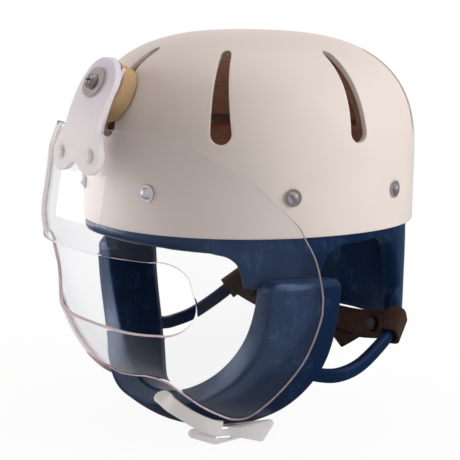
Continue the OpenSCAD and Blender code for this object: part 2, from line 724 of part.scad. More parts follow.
// Webbing behind the neck, from the right sleeve to the left one
module nape_band() {
    steps = 22;
    right = [for (i = [len(nape_route) - 1:-1:1]) [-nape_route[i][0], nape_route[i][1], nape_route[i][2]]];
    route = concat(right, nape_route);
    last = len(route) - 1;
    P = [for (i = [0:steps]) on_route(route, last * i / steps)];
    loft(strip_sections(P, webbing_w, webbing_t, [for (p = P) nape_back(p)]));
}

module nape_strap() {
    color(brown) difference() {
        union() {
            nape_band();
            for (s = [0, 1]) mirror([s, 0, 0]) webbing_wrap(2 * wrap_gap + 2 * webbing_t, webbing_w);
        }
        for (s = [0, 1]) mirror([s, 0, 0]) webbing_wrap(2 * wrap_gap, webbing_w + 12);
    }
}

// Snap on the front of the webbing, beside the left wrap, with its base in the webbing's own plane
module snap_cap() {
    at = len(nape_route) - 1 - snap_back;
    p = on_route(nape_route, at);
    run = unit(on_route(nape_route, at + 0.2) - on_route(nape_route, at - 0.2));
    back = nape_back(p);
    up = unit(back - (back * run) * run);
    side = cross(run, up);
    multmatrix([for (k = [0:2]) [run[k], side[k], -up[k], p[k]]])
        translate([0, 0, webbing_t / 2 + 2 * fit]) cylinder(d1 = snap_d, d2 = snap_d * 0.8, h = 2, $fn = 32);
}

// Chin strap: a tongue that lies over the chin guard's crease and runs down to its keeper
module chin_strap() {
    steps = 14;
    last = len(tongue_route) - 1;
    P = [for (i = [0:steps]) on_route(tongue_route, last * i / steps)];
    color(white) loft(strip_sections(P, tongue_w, chin_strap_t,
        [for (i = [0:steps]) on_route(tongue_facing, last * i / steps)]));
}

// Keeper seen square on: a waisted plate with two slots and a wide tail
module keeper_outline() {
    difference() {
        union() {
            hull() {
                translate([-19.5, 0.5]) circle(3, $fn = 24);
                translate([-3, -1.2]) circle(7, $fn = 32);
                translate([13, -0.8]) circle(4.2, $fn = 24);
            }
            hull() {
                translate([14, -0.8]) circle(3.8, $fn = 24);
                translate([37.5, 5]) circle(2.5, $fn = 24);
                translate([31, -5.5]) circle(2.5, $fn = 24);
            }
        }
        for (p = [[1.5, 3], [3, -3.4]]) hull() for (x = [-4.4, 4.4])
            translate([p[0] + x, p[1]]) circle(1.1, $fn = 16);
    }
}

module strap_keeper() {
    color(white) translate(keeper_place) rotate([0, 0, keeper_turn]) rotate([90, 0, 0])
        linear_extrude(chin_strap_t, center = true) keeper_outline();
}

outer_shell();
skirt_liner();
headband_pad();
crown_pad();
chin_guard();
ear_loop();  // ear_loop_left
mirror([1, 0, 0]) ear_loop();  // ear_loop_right
shell_rivet(0);  // shell_rivet_1
shell_rivet(1);  // shell_rivet_2
shell_rivet(2);  // shell_rivet_3
shell_rivet(3);  // shell_rivet_4
shell_rivet(4);  // shell_rivet_5
shell_rivet(5);  // shell_rivet_6
shell_rivet(6);  // shell_rivet_7
shell_rivet(7);  // shell_rivet_8
rivet_ring(0);  // rivet_ring_1
rivet_ring(1);  // rivet_ring_2
rivet_ring(2);  // rivet_ring_3
rivet_ring(3);  // rivet_ring_4
rivet_ring(4);  // rivet_ring_5
rivet_ring(5);  // rivet_ring_6
rivet_ring(6);  // rivet_ring_7
rivet_ring(7);  // rivet_ring_8
face_shield();
guard_bracket();
spacer_block();
guard_screw();
screw_washer();
inner_washer();
lock_nut();
bracket_rivet(1);  // bracket_rivet_left
bracket_rivet(-1);  // bracket_rivet_right
rivet_backing(1);  // rivet_backing_left
rivet_backing(-1);  // rivet_backing_right
nape_strap();
snap_cap();  // snap_cap_left
mirror([1, 0, 0]) snap_cap();  // snap_cap_right
chin_strap();
strap_keeper();
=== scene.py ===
"""Looks of a protective helmet with a clear face guard, built around its CAD frame.

Every size in the forms below is in millimetres, with the origin at the centre of the shell's rim,
+Z up, the face looking along -Y and the wearer's left at +X. The meshes are in metres."""

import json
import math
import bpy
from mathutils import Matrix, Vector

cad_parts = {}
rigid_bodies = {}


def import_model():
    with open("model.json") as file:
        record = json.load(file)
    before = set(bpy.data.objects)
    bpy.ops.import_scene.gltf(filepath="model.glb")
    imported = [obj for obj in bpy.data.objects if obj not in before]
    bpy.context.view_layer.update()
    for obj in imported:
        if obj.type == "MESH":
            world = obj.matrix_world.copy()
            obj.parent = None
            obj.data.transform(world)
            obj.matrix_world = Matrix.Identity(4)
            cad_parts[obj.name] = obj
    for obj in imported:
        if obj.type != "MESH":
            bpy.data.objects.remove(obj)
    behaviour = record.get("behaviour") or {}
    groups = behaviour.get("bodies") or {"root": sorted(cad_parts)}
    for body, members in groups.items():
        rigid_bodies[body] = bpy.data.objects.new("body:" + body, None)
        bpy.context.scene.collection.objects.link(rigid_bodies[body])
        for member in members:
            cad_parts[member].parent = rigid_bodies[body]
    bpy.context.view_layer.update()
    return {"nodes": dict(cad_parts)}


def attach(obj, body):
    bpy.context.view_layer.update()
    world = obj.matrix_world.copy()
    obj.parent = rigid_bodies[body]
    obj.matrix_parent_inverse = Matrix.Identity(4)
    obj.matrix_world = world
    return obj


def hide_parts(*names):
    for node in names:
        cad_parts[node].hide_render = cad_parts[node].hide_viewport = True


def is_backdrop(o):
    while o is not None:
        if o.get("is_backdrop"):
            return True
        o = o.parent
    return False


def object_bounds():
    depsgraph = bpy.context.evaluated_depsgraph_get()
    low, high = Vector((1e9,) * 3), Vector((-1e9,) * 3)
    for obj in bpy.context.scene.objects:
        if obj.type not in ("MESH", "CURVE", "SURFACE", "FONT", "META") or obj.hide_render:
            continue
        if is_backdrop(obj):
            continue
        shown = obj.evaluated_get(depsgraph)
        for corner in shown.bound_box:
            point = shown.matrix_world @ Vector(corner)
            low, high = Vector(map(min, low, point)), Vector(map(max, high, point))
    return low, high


bl_info = {
    "name": "Protective helmet with a clear face guard",
    "version": (1, 0, 0),
    "blender": (4, 5, 0),
    "location": "3D View > Sidebar > Helmet",
    "description": "Builds the shell, padding, clear shield, straps and stage of a protective helmet",
    "category": "Object",
}

from contextlib import contextmanager

import bpy
from mathutils import Matrix, Vector, noise

for leftover in list(bpy.data.objects):
    bpy.data.objects.remove(leftover)
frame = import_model()
MM = 0.001

# Vertices nearer than this are merged, and the floor lies this far under the lowest piece
WELD_REACH = 0.02
FLOOR_GAP = 0.4

# The shell's plan and crown, the length of the crown's bend, and how far its rows gather near the band
SHELL_HALF = (110, 125)
SHELL_TOP = 136.5
BAND_TOP = 43.5
PLAN_POWER = 2.1
CROWN_POWER = 2.74
BEND_LENGTH = 190
BEND_GATHER = 1.25
WALL = 4

# The vent slots: angle of each from the front and its lean, the heights where they end, the radii of
# their round ends, and how far from the helmet's axis the cut runs
SLOTS = ((0, 0), (42, 5), (96, 0), (140, 0), (180, 0), (-140, 0), (-96, 0), (-42, -5))
SLOT_LOW = 63
SLOT_LOW_R = 7.5
SLOT_HIGH = 124.5
SLOT_HIGH_R = 4
SLOT_CUT = (45, 140)

# The skirt: thickness, radius of its lower edge, height of its seat under the rim and of the shoulder inside
# it, and the upstand inside the shell: insets of its two faces from the shell's face, and its top
SKIRT_THICK = 12
SKIRT_EDGE_R = 3
SKIRT_SEAT = -0.3
SHOULDER_Z = 7.7
UPSTAND_INSETS = (4.3, 8.3)
UPSTAND_TOP = 40

# How far the skirt reaches below the rim at each angle from the front
SKIRT_EDGE = (
    (0, -8), (20, -9), (40, -11), (46, -13.5), (49, -18), (50.6, -25), (51.6, -35), (80, -35),
    (81.3, -25), (83, -18.5), (86, -12), (94, -8), (106, -7.5), (115, -7.5), (119, -9.5), (123, -14.5),
    (127, -24), (130, -38), (132, -50), (134, -60), (137, -76), (141, -82), (150, -84), (180, -84))

# The chin guard: centre height of its ring, top of its upper ends, how much its corners are eased, and the
# four corners of its section, each with half width, depth, squareness, y, and how much further forward
# it lies at the chin
FACE_Z = -20
GUARD_TOP = -28
GUARD_EASE = 3
GUARD_CORNERS = (
    (95.5, 101, 2, -64, 20), (101, 108, 2, -21, 38), (117, 132, 2.35, -6, 42), (112, 109, 2.4, -65, 33))
# How far the guard's section draws in at its upper ends, and how far below the top
GUARD_END = ((9, 0), (7, 0), (5.2, 0.25), (3.6, 0.9), (2.4, 2), (1.2, 3.4), (0.4, 5), (0, 6.4))

# What the shield adds to the shell's half width and half length at each height
SHIELD_SIDE = (
    (-135, -16), (-113, -3), (-91, 4), (-60, 9.9), (-30, 11.6), (0, 10.6), (40, 9), (80, 4), (106, -10),
    (120, -20))
SHIELD_REACH = (
    (-135, -41), (-113, -18), (-91, -1), (-60, 13.5), (-30, 22), (0, 28), (12, 27.5), (23, 25.5),
    (40, 23), (55, 21.5), (72, 17.5), (93, 9.5), (106, 3), (120, -5))
# Its plan is squared up to one height and round from another one
SHIELD_SQUARE = 2.6
SQUARE_UP_TO = 50
ROUND_FROM = 100
# The shield's upper and lower edges at each angle from the front
SHIELD_UPPER = (
    (0, 71), (17, 71), (25, 69.5), (31, 66), (37, 61.5), (43.5, 54.5), (53, 42), (60, 27.5),
    (68.5, 10), (70.5, 3), (75, -14.5), (77.3, -32), (78, -40))
SHIELD_LOWER = (
    (0, -107), (10, -104), (19, -101), (26, -103), (30, -109), (36.6, -120), (42, -126), (48, -130),
    (54, -128), (60, -118), (68, -99), (72.7, -85), (75, -74), (77, -61), (78, -52))
SHIELD_HALF_ANGLE = 78
SHIELD_T = 2.8
TONGUE_HALF_ANGLE = 7.8
TONGUE_TOP = 112
# The mouth window in front view: where its level lower side ends, and its lower and upper corners
WINDOW_LEVEL = (20, -68)
WINDOW_LOW_CORNER = (66, -40)
WINDOW_LOW_R = 26
WINDOW_TOP_CORNER = (77, -27)
WINDOW_TOP_R = 14

# The bracket in front view: round head, neck, two lobes with rivets, and the arch between them
BRACKET_T = 4
HEAD_Z = 96
HEAD_R = 22
NECK = (20.5, 73)
LOBE_Z = 52
LOBE_HALF_PITCH = 18
LOBE_R = 12.5
ARCH_Z = 38
ARCH_R = 9

# The guard screw's height, the radii of its travel along the slot and beside it, and the foam spacer
SCREW_Z = 92
TRAVEL_R = 70
TRAVEL_SIDE_R = 118
SPACER_HALF = (20, 20.5)
# Gaps between the spacer and the shell, and between the shield and what sits against its faces
SPACER_CLEAR = 0.9
SEAT_GAP = 0.3
# How far the window's cutter runs past the sheet, and where it ends in front of it and inside the head
CUT_PAST = 4
IN_FRONT_Y = -260
IN_HEAD_Y = -60

# Sections of the ear loops and the nape webbing, and the weave's ribs round the webbing and along it
LOOP_WIDTH = 10
LOOP_THICK = 7
WEBBING_WIDTH = 21
WEBBING_THICK = 2.2
RIBS_AROUND = 24
RIBS_ALONG = 86

# Centre lines of the left ear loop, the nape webbing's left half and the chin strap's tongue
LOOP_ROUTE = (
    (78, 77, -50), (84, 73, -59), (91, 67.5, -67), (97.5, 57.5, -76), (101, 42, -86.5), (103.5, 22, -97),
    (103.5, 4, -101), (99, -9, -100.5), (92, -22, -97))
NAPE_ROUTE = ((0, 62, -81), (30, 62, -80.5), (58, 61.5, -79), (80, 61.5, -75.5), (94, 61, -71.5))
TONGUE_ROUTE = (
    (16.9, -91.2, -121.2), (27.6, -92, -122.2), (38.2, -93.8, -123.7), (45.7, -89.4, -128.1),
    (50.7, -80.7, -134.3), (54.4, -71.1, -139.4), (56.2, -63, -141.6))
TONGUE_FACING = (
    (0.15, -0.5, 0.85), (0.2, -0.62, 0.75), (0.38, -0.9, 0.2), (0.52, -0.84, -0.1),
    (0.7, -0.7, -0.15), (0.85, -0.5, -0.05), (0.93, -0.35, 0))

# The tongue's half width and thickness
STRAP_HALF = 5.75
STRAP_THICK = 2

# Where the webbing wraps the ear loop's route, its gap round the loop, and the share of the band's ribs
# that the shorter wrap takes, so that both are woven alike
WRAP_AT = 2.7
WRAP_GAP = 1.6
WRAP_SHARE = 0.31
# The webbing's pointed tail in front view, and how far behind the helmet's middle it hangs
TAIL_OUTLINE = ((62, -88), (22, -88), (31, -94), (41, -100.6), (49, -96))
TAIL_Y = 59.5

# The strap's keeper: its place, its turn from the front, its outline as arcs with centre, radius, start,
# end and steps, and its slots
KEEPER_PLACE = (54, -63, -145)
KEEPER_TURN = 69.4
KEEPER_ARCS = (
    ((-3, -1.2), 7, 250, 275, 4), ((13, -0.8), 4.2, 275, 300, 4), ((31, -5.5), 2.5, 262, 345, 6),
    ((37.5, 5), 2.5, -25, 100, 8), ((14, -0.8), 3.8, 100, 92, 3), ((-3, -1.2), 7, 72, 105, 6),
    ((-19.5, 0.5), 3, 105, 248, 10))
KEEPER_SLOTS = ((1.5, 3), (3, -3.4))
KEEPER_SLOT_HALF = 4.4
KEEPER_SLOT_R = 1.1

# The camera, in degrees and metres: its turn from the front, lift, roll, distance and what it looks at
CAMERA_TURN = 53.813
CAMERA_LIFT = 9.159
CAMERA_ROLL = 1.162
CAMERA_AWAY = 1.150
CAMERA_AIM = (0, -0.01769, -0.01065)
CAMERA_LENS = 121.6

# Bright patches that shiny pieces mirror: direction, where each begins and is full, as a cosine, and glow
DARK_ROOM = 0.14
MIRROR_PATCHES = (
    ((0.75, 0.6, 0.3), 0.82, 0.99, 1.2), ((-0.6, -0.7, 0.4), 0.86, 0.99, 1.0),
    ((0, 0.1, 1), 0.75, 0.97, 1.0), ((-0.8, 0.58, -0.1), 0.7, 0.97, 0.85))


# Curves and surfaces

def sin(degrees):
    return math.sin(math.radians(degrees))


def cos(degrees):
    return math.cos(math.radians(degrees))


def slope(table, i):
    """Slope of a table of (x, y) rows at row i."""
    a, b = table[max(i - 1, 0)], table[min(i + 1, len(table) - 1)]
    return (b[1] - a[1]) / (b[0] - a[0])


def along(table, x):
    """Smooth curve through the rows of a table, level past its ends."""
    i = 0
    while i < len(table) - 2 and x >= table[i + 1][0]:
        i += 1
    (x0, y0), (x1, y1) = table[i], table[i + 1]
    h = x1 - x0
    t = min(1, max(0, (x - x0) / h))
    return (
        y0 * (1 + 2 * t) * (1 - t) ** 2 + slope(table, i) * h * t * (1 - t) ** 2
        + y1 * t * t * (3 - 2 * t) + slope(table, i + 1) * h * t * t * (t - 1))


def straight(table, x):
    """Value between the rows of a table, joined by straight lines."""
    for (x0, y0), (x1, y1) in zip(table, table[1:]):
        if x <= x1:
            return y0 + (y1 - y0) * max(0, x - x0) / (x1 - x0)
    return table[-1][1]


def on_route(points, t):
    """Smooth route through points at t, which runs from 0 to the last point's number."""
    return Vector([along([(i, p[k]) for i, p in enumerate(points)], t) for k in range(3)])


def oval(angle, half_w, half_l, power):
    """Point of a squared oval at an angle from the front."""
    s, c = sin(angle), cos(angle)
    r = (abs(s / half_w) ** power + abs(c / half_l) ** power) ** (-1 / power)
    return r * s, -r * c


def crown(z, top):
    """Share of the rim's plan that is left at a height."""
    if z <= BAND_TOP:
        return 1
    return max(0, 1 - ((z - BAND_TOP) / (top - BAND_TOP)) ** CROWN_POWER) ** (1 / CROWN_POWER)


def shell_point(angle, z, inset=0):
    """Point of the shell's face, drawn in by an inset."""
    k = crown(z, SHELL_TOP - inset)
    if k == 0:
        return Vector((0, 0, z))
    x, y = oval(angle, (SHELL_HALF[0] - inset) * k, (SHELL_HALF[1] - inset) * k, PLAN_POWER)
    return Vector((x, y, z))


def dome_point(angle, rise, inset, low):
    """Point of the dome at rise 0 to 1 from a low height to the pole."""
    top = SHELL_TOP - inset
    side = (BAND_TOP - low) / (BAND_TOP - low + BEND_LENGTH)
    if rise < side:
        return shell_point(angle, low + (BAND_TOP - low) * rise / side, inset)
    bend = 90 * ((rise - side) / (1 - side)) ** BEND_GATHER
    k = max(0, cos(bend)) ** (2 / CROWN_POWER)
    w = sin(bend) ** (2 / CROWN_POWER)
    if k < 1e-6:
        return Vector((0, 0, top))
    x, y = oval(angle, (SHELL_HALF[0] - inset) * k, (SHELL_HALF[1] - inset) * k, PLAN_POWER)
    return Vector((x, y, BAND_TOP + (top - BAND_TOP) * w))


def shield_power(z):
    """How square the shield's plan is at a height."""
    rounding = min(1, max(0, (z - SQUARE_UP_TO) / (ROUND_FROM - SQUARE_UP_TO)))
    return SHIELD_SQUARE + (2 - SHIELD_SQUARE) * rounding


def shield_point(angle, z):
    """Point of the shield's outer face."""
    x, y = oval(
        angle, SHELL_HALF[0] + along(SHIELD_SIDE, z), SHELL_HALF[1] + along(SHIELD_REACH, z),
        shield_power(z))
    return Vector((x, y, z))


def shield_normal(angle, z):
    """Direction in which the shield's face looks."""
    round_it = shield_point(angle + 0.5, z) - shield_point(angle - 0.5, z)
    up_it = shield_point(angle, z + 0.5) - shield_point(angle, z - 0.5)
    return round_it.cross(up_it).normalized()


def shield_front(x, z, out=0):
    """Point at a distance beside the middle and a height in front view, so far out from the outer face."""
    half_w = SHELL_HALF[0] + along(SHIELD_SIDE, z) + out
    reach = SHELL_HALF[1] + along(SHIELD_REACH, z) + out
    power = shield_power(z)
    return Vector((x, -reach * max(0, 1 - (abs(x) / half_w) ** power) ** (1 / power), z))


SCREW_SEAT = Vector((0, -SHELL_HALF[1] * crown(SCREW_Z, SHELL_TOP), SCREW_Z))
SCREW_TILT = math.degrees(math.atan(
    SHELL_HALF[1] * (crown(SCREW_Z - 0.5, SHELL_TOP) - crown(SCREW_Z + 0.5, SHELL_TOP))))
SCREW_OUT = Vector((0, -cos(SCREW_TILT), sin(SCREW_TILT)))
SCREW_UP = Vector((0, sin(SCREW_TILT), cos(SCREW_TILT)))
TRAVEL_CENTRE = SCREW_SEAT - SCREW_OUT * TRAVEL_R


def squared(share, power):
    """Sine or cosine with its size raised to a power, which squares an oval where the power is under 1."""
    return math.copysign(abs(share) ** power, share)


def guard_curve(turn, half, deep, power, y):
    """Point of the chin guard's ring: turn 0 is the wearer's left, 90 the chin."""
    return Vector((half * squared(cos(turn), 2 / power), y, FACE_Z - deep * sin(turn) ** (2 / power)))


def guard_corners(turn):
    """Front inner, rear inner, rear outer and front outer corner of the chin guard."""
    late = sin(turn) ** 4
    return [
        guard_curve(turn, half, deep, power, y - more * late)
        for half, deep, power, y, more in GUARD_CORNERS]


# Shaping tools

def pick_only(*pieces):
    """Selects only these objects and makes the first one active."""
    if bpy.context.object and bpy.context.object.mode != "OBJECT":
        bpy.ops.object.mode_set(mode="OBJECT")
    bpy.ops.object.select_all(action="DESELECT")
    for piece in pieces:
        piece.select_set(True)
    if pieces:
        bpy.context.view_layer.objects.active = pieces[0]


def finish_modifier(piece, kind, **settings):
    """Adds a modifier and applies it to the mesh."""
    pick_only(piece)
    modifier = piece.modifiers.new(kind.title(), kind)
    for setting, value in settings.items():
        setattr(modifier, setting, value)
    bpy.ops.object.modifier_apply(modifier=modifier.name)


def lay_grid(name, across, up, place):
    """Grid primitive whose vertices are set over a surface: place(u, v), u and v from 0 to 1."""
    pick_only()
    bpy.ops.mesh.primitive_grid_add(x_subdivisions=across, y_subdivisions=up, size=2)
    piece = bpy.context.object
    piece.name = piece.data.name = name
    for vertex in piece.data.vertices:
        vertex.co = Vector(place((vertex.co.x + 1) / 2, (vertex.co.y + 1) / 2)) * MM
    return piece


def lay_sections(name, sections, closed=False):
    """Grid wrapped over closed sections that follow each other, welded where it meets itself."""
    around, steps = len(sections[0]), len(sections)
    spans = steps if closed else steps - 1

    def place(u, v):
        return sections[round(v * spans) % steps][round(u * around) % around]

    piece = lay_grid(name, around, spans, place)
    weld(piece)
    return piece


@contextmanager
def editing(piece):
    """Edit mode with the whole mesh of a piece selected."""
    pick_only(piece)
    bpy.ops.object.mode_set(mode="EDIT")
    bpy.ops.mesh.select_all(action="SELECT")
    yield
    bpy.ops.object.mode_set(mode="OBJECT")


def weld(piece):
    """Merges vertices that meet."""
    with editing(piece):
        bpy.ops.mesh.remove_doubles(threshold=WELD_REACH * MM)


def close_ends(piece):
    """Fills the open rings and turns the faces outwards."""
    with editing(piece):
        bpy.ops.mesh.fill_holes(sides=0)
        bpy.ops.mesh.normals_make_consistent(inside=False)


def face_out(piece):
    """Turns the faces of a closed mesh outwards."""
    with editing(piece):
        bpy.ops.mesh.normals_make_consistent(inside=False)


def face_away(piece):
    """Turns an open sheet so that it looks away from the head."""
    face_out(piece)
    facing = sum(f.normal.dot(Vector((f.center.x, f.center.y, 0))) * f.area for f in piece.data.polygons)
    if facing < 0:
        with editing(piece):
            bpy.ops.mesh.flip_normals()


def smooth(piece, angle):
    """Smooth shading with edges kept where faces meet at more than an angle."""
    pick_only(piece)
    bpy.ops.object.shade_smooth_by_angle(angle=math.radians(angle))


def bevel_edges(piece, width, segments, wanted):
    """Bevels the edges for which wanted(middle in millimetres, angle between faces in degrees) holds."""
    with editing(piece):
        bpy.ops.mesh.select_mode(type="EDGE")
        bpy.ops.mesh.select_all(action="DESELECT")
    mesh = piece.data
    normals = {}
    for face in mesh.polygons:
        for key in face.edge_keys:
            normals.setdefault(key, []).append(face.normal.copy())
    for edge in mesh.edges:
        sides = normals.get(edge.key, [])
        if len(sides) == 2:
            start, end = (mesh.vertices[i].co for i in edge.vertices)
            edge.select = wanted((start + end) / 2 / MM, math.degrees(sides[0].angle(sides[1], 0)))
    bpy.ops.object.mode_set(mode="EDIT")
    bpy.ops.mesh.bevel(
        offset=width * MM, segments=segments, profile=0.5, affect="EDGES", clamp_overlap=True,
        loop_slide=False)
    bpy.ops.mesh.select_mode(type="VERT")
    bpy.ops.object.mode_set(mode="OBJECT")


def mirrored(piece, name):
    """Copy of a piece on the wearer's other side."""
    pick_only(piece)
    bpy.ops.object.duplicate()
    copy = bpy.context.object
    copy.name = copy.data.name = name
    bpy.ops.transform.resize(value=(-1, 1, 1), center_override=(0, 0, 0))
    bpy.ops.object.transform_apply(location=True, rotation=True, scale=True)
    face_out(copy)
    return copy


def plate(name, outline, low, high, axes):
    """Solid between two heights over a flat outline; axes are its origin and its three directions."""
    origin, right, up, out = axes
    pick_only()
    bpy.ops.mesh.primitive_circle_add(vertices=len(outline), radius=1, fill_type="NGON")
    piece = bpy.context.object
    piece.name = piece.data.name = name
    for vertex, (x, y) in zip(piece.data.vertices, outline):
        vertex.co = (origin + right * x + up * y + out * low) * MM
    with editing(piece):
        bpy.ops.mesh.extrude_region_move(TRANSFORM_OT_translate={"value": out * (high - low) * MM})
    face_out(piece)
    return piece


def cut(piece, cutter, kind="DIFFERENCE"):
    """Boolean of a piece with a cutter, which is then removed."""
    finish_modifier(piece, "BOOLEAN", operation=kind, solver="EXACT", object=cutter)
    bpy.data.objects.remove(cutter)


def leg(start, end, steps):
    """Points from a start towards an end, without the end itself."""
    return [tuple(a + (b - a) * i / steps for a, b in zip(start, end)) for i in range(steps)]


def arc(centre, radius, start, end, steps):
    """Points of an arc in a flat outline, its angles counted from +X."""
    return [
        (centre[0] + radius * cos(start + (end - start) * i / steps),
         centre[1] + radius * sin(start + (end - start) * i / steps)) for i in range(steps + 1)]


def ripple(point, size, depth):
    """Soft unevenness of a hand-finished surface."""
    return depth * noise.noise(Vector(point) / size)


def voxel_skin(piece, size):
    """Remeshes a solid into even faces of a size, which closes every seam."""
    finish_modifier(piece, "REMESH", mode="VOXEL", voxel_size=size * MM)


def relax(piece, rounds):
    """Softens every edge of an evenly meshed piece."""
    finish_modifier(piece, "SMOOTH", factor=0.5, iterations=rounds)


def stuff(piece, pressure, cap):
    """Swells a padded piece by a cloth simulation, and holds each point within a cap in millimetres."""
    frames = 20
    start = [vertex.co.copy() for vertex in piece.data.vertices]
    pick_only(piece)
    cloth = piece.modifiers.new("Cloth", "CLOTH")
    cloth.settings.use_pressure = True
    cloth.settings.uniform_pressure_force = pressure
    cloth.settings.tension_stiffness = 30
    cloth.settings.compression_stiffness = 30
    cloth.settings.effector_weights.gravity = 0
    cloth.point_cache.frame_start = 1
    cloth.point_cache.frame_end = frames
    for step in range(1, frames + 1):
        bpy.context.scene.frame_set(step)
    bpy.ops.object.modifier_apply(modifier=cloth.name)
    bpy.context.scene.frame_set(1)
    for vertex, was in zip(piece.data.vertices, start):
        move = vertex.co - was
        if move.length > cap * MM:
            vertex.co = was + move.normalized() * cap * MM


# Materials

def colour(code):
    """sRGB hex value as a linear colour."""
    channels = [int(code[i:i + 2], 16) / 255 for i in (1, 3, 5)]
    return [c / 12.92 if c <= 0.04045 else ((c + 0.055) / 1.055) ** 2.4 for c in channels] + [1]


def add_node(tree, kind, inputs=None, **settings):
    """Adds a node, sets its properties, and sets or links each input. A node stands for its first output."""
    node = tree.nodes.new(kind)
    for setting, value in settings.items():
        setattr(node, setting, value)
    for socket, value in (inputs or {}).items():
        if isinstance(value, bpy.types.Node):
            value = value.outputs[0]
        if isinstance(value, bpy.types.NodeSocket):
            tree.links.new(value, node.inputs[socket])
        else:
            node.inputs[socket].default_value = value
    return node


def new_material(name, code):
    """Empty node material with a viewport colour."""
    material = bpy.data.materials.new(name)
    material.use_nodes = True
    material.node_tree.nodes.clear()
    material.diffuse_color = colour(code)
    return material


def satin_abs(code):
    """Injection-moulded ABS with a satin skin: broad soft highlights and a faint orange peel."""
    material = new_material("satin_moulded_abs", code)
    tree = material.node_tree
    where = add_node(tree, "ShaderNodeTexCoord").outputs["Object"]
    broad = add_node(tree, "ShaderNodeTexNoise", {"Vector": where, "Scale": 1 / (60 * MM), "Detail": 2})
    wear = add_node(tree, "ShaderNodeTexNoise", {"Vector": where, "Scale": 1 / (9 * MM), "Detail": 3})
    peel = add_node(tree, "ShaderNodeTexNoise", {"Vector": where, "Scale": 1 / (1.6 * MM), "Detail": 2})
    tone = add_node(
        tree, "ShaderNodeMix", {0: broad, 6: colour(code), 7: colour("#e9e0db")}, data_type="RGBA")
    surface = add_node(tree, "ShaderNodeBsdfPrincipled", {
        "Base Color": tone.outputs[2],
        "Roughness": add_node(tree, "ShaderNodeMapRange", {"Value": wear, "To Min": 0.36, "To Max": 0.48}),
        "IOR": 1.52,
        "Specular IOR Level": 0.35,
        "Normal": add_node(
            tree, "ShaderNodeBump", {"Height": peel, "Distance": 0.03 * MM, "Strength": 0.5})})
    add_node(tree, "ShaderNodeOutputMaterial", {"Surface": surface})
    return material


def dipped_vinyl(code, lit):
    """Foam dipped in plastisol: dark satin skin, brushed by wear in places, and painted paler where it is
    seen edge on, as a painted sheen of light at its edges.
    """
    material = new_material("dipped_navy_vinyl", code)
    tree = material.node_tree
    where = add_node(tree, "ShaderNodeTexCoord").outputs["Object"]
    fine = add_node(
        tree, "ShaderNodeTexNoise",
        {"Vector": where, "Scale": 1 / (2.2 * MM), "Detail": 5, "Roughness": 0.65})
    folds = add_node(tree, "ShaderNodeTexNoise", {"Vector": where, "Scale": 1 / (14 * MM), "Detail": 3})
    # Worn places are broad, and brushed across by marks that are three times as high as they are wide
    upright = add_node(tree, "ShaderNodeVectorMath", {0: where, 1: (1, 1, 1 / 3)}, operation="MULTIPLY")
    shares = []
    for spot, size, detail, low, high in ((where, 38, 2, 0.46, 0.7), (upright, 3, 5, 0.42, 0.85)):
        mottle = add_node(
            tree, "ShaderNodeTexNoise",
            {"Vector": spot, "Scale": 1 / (size * MM), "Detail": detail, "Roughness": 0.7})
        shares.append(add_node(
            tree, "ShaderNodeMapRange", {"Value": mottle, "From Min": low, "From Max": high},
            interpolation_type="SMOOTHSTEP"))
    brushed = add_node(tree, "ShaderNodeMath", {0: shares[0], 1: shares[1]}, operation="MULTIPLY")
    # Painted sheen: where the skin is seen edge on it is tinted towards the pale colour, in place of light
    # reflected at its edges; the pale share takes the larger of this painted sheen and the real wear
    facing = add_node(tree, "ShaderNodeLayerWeight", {"Blend": 0.4}).outputs["Facing"]
    painted_edge_sheen = add_node(
        tree, "ShaderNodeMapRange", {"Value": facing, "From Min": 0.6, "From Max": 0.95, "To Max": 0.5})
    pale = add_node(tree, "ShaderNodeMath", {0: brushed, 1: painted_edge_sheen}, operation="MAXIMUM")
    tone = add_node(
        tree, "ShaderNodeMix", {0: pale, 6: colour(code), 7: colour(lit)}, data_type="RGBA")
    surface = add_node(tree, "ShaderNodeBsdfPrincipled", {
        "Base Color": tone.outputs[2],
        "Roughness": add_node(tree, "ShaderNodeMapRange", {"Value": fine, "To Min": 0.28, "To Max": 0.4}),
        "IOR": 1.5,
        "Specular IOR Level": 0.42,
        "Specular Tint": colour("#a9c4f0"),
        "Normal": add_node(
            tree, "ShaderNodeBump", {"Height": folds, "Distance": 0.5 * MM, "Strength": 0.35})})
    add_node(tree, "ShaderNodeOutputMaterial", {"Surface": surface})
    return material


def lining_cloth(code):
    """Brushed knit over foam: matt, a little fuzzy at the edges, with fine ribs."""
    material = new_material("brushed_brown_lining", code)
    tree = material.node_tree
    where = add_node(tree, "ShaderNodeTexCoord").outputs["Object"]
    ribs = add_node(
        tree, "ShaderNodeTexWave", {"Vector": where, "Scale": 1 / (11 * MM), "Distortion": 1.2, "Detail": 2},
        bands_direction="Z").outputs["Fac"]
    fuzz = add_node(tree, "ShaderNodeTexNoise", {"Vector": where, "Scale": 1 / (1.2 * MM), "Detail": 4})
    patchy = add_node(tree, "ShaderNodeTexNoise", {"Vector": where, "Scale": 1 / (12 * MM), "Detail": 4})
    height = add_node(tree, "ShaderNodeMath", {0: ribs, 1: fuzz}, operation="ADD")
    tone = add_node(
        tree, "ShaderNodeMix", {0: patchy, 6: colour(code), 7: colour("#b88a70")}, data_type="RGBA")
    surface = add_node(tree, "ShaderNodeBsdfPrincipled", {
        "Base Color": tone.outputs[2],
        "Roughness": 0.9,
        "Sheen Weight": 0.35,
        "Sheen Roughness": 0.5,
        "Normal": add_node(
            tree, "ShaderNodeBump", {"Height": height, "Distance": 0.5 * MM, "Strength": 0.6})})
    add_node(tree, "ShaderNodeOutputMaterial", {"Surface": surface})
    return material


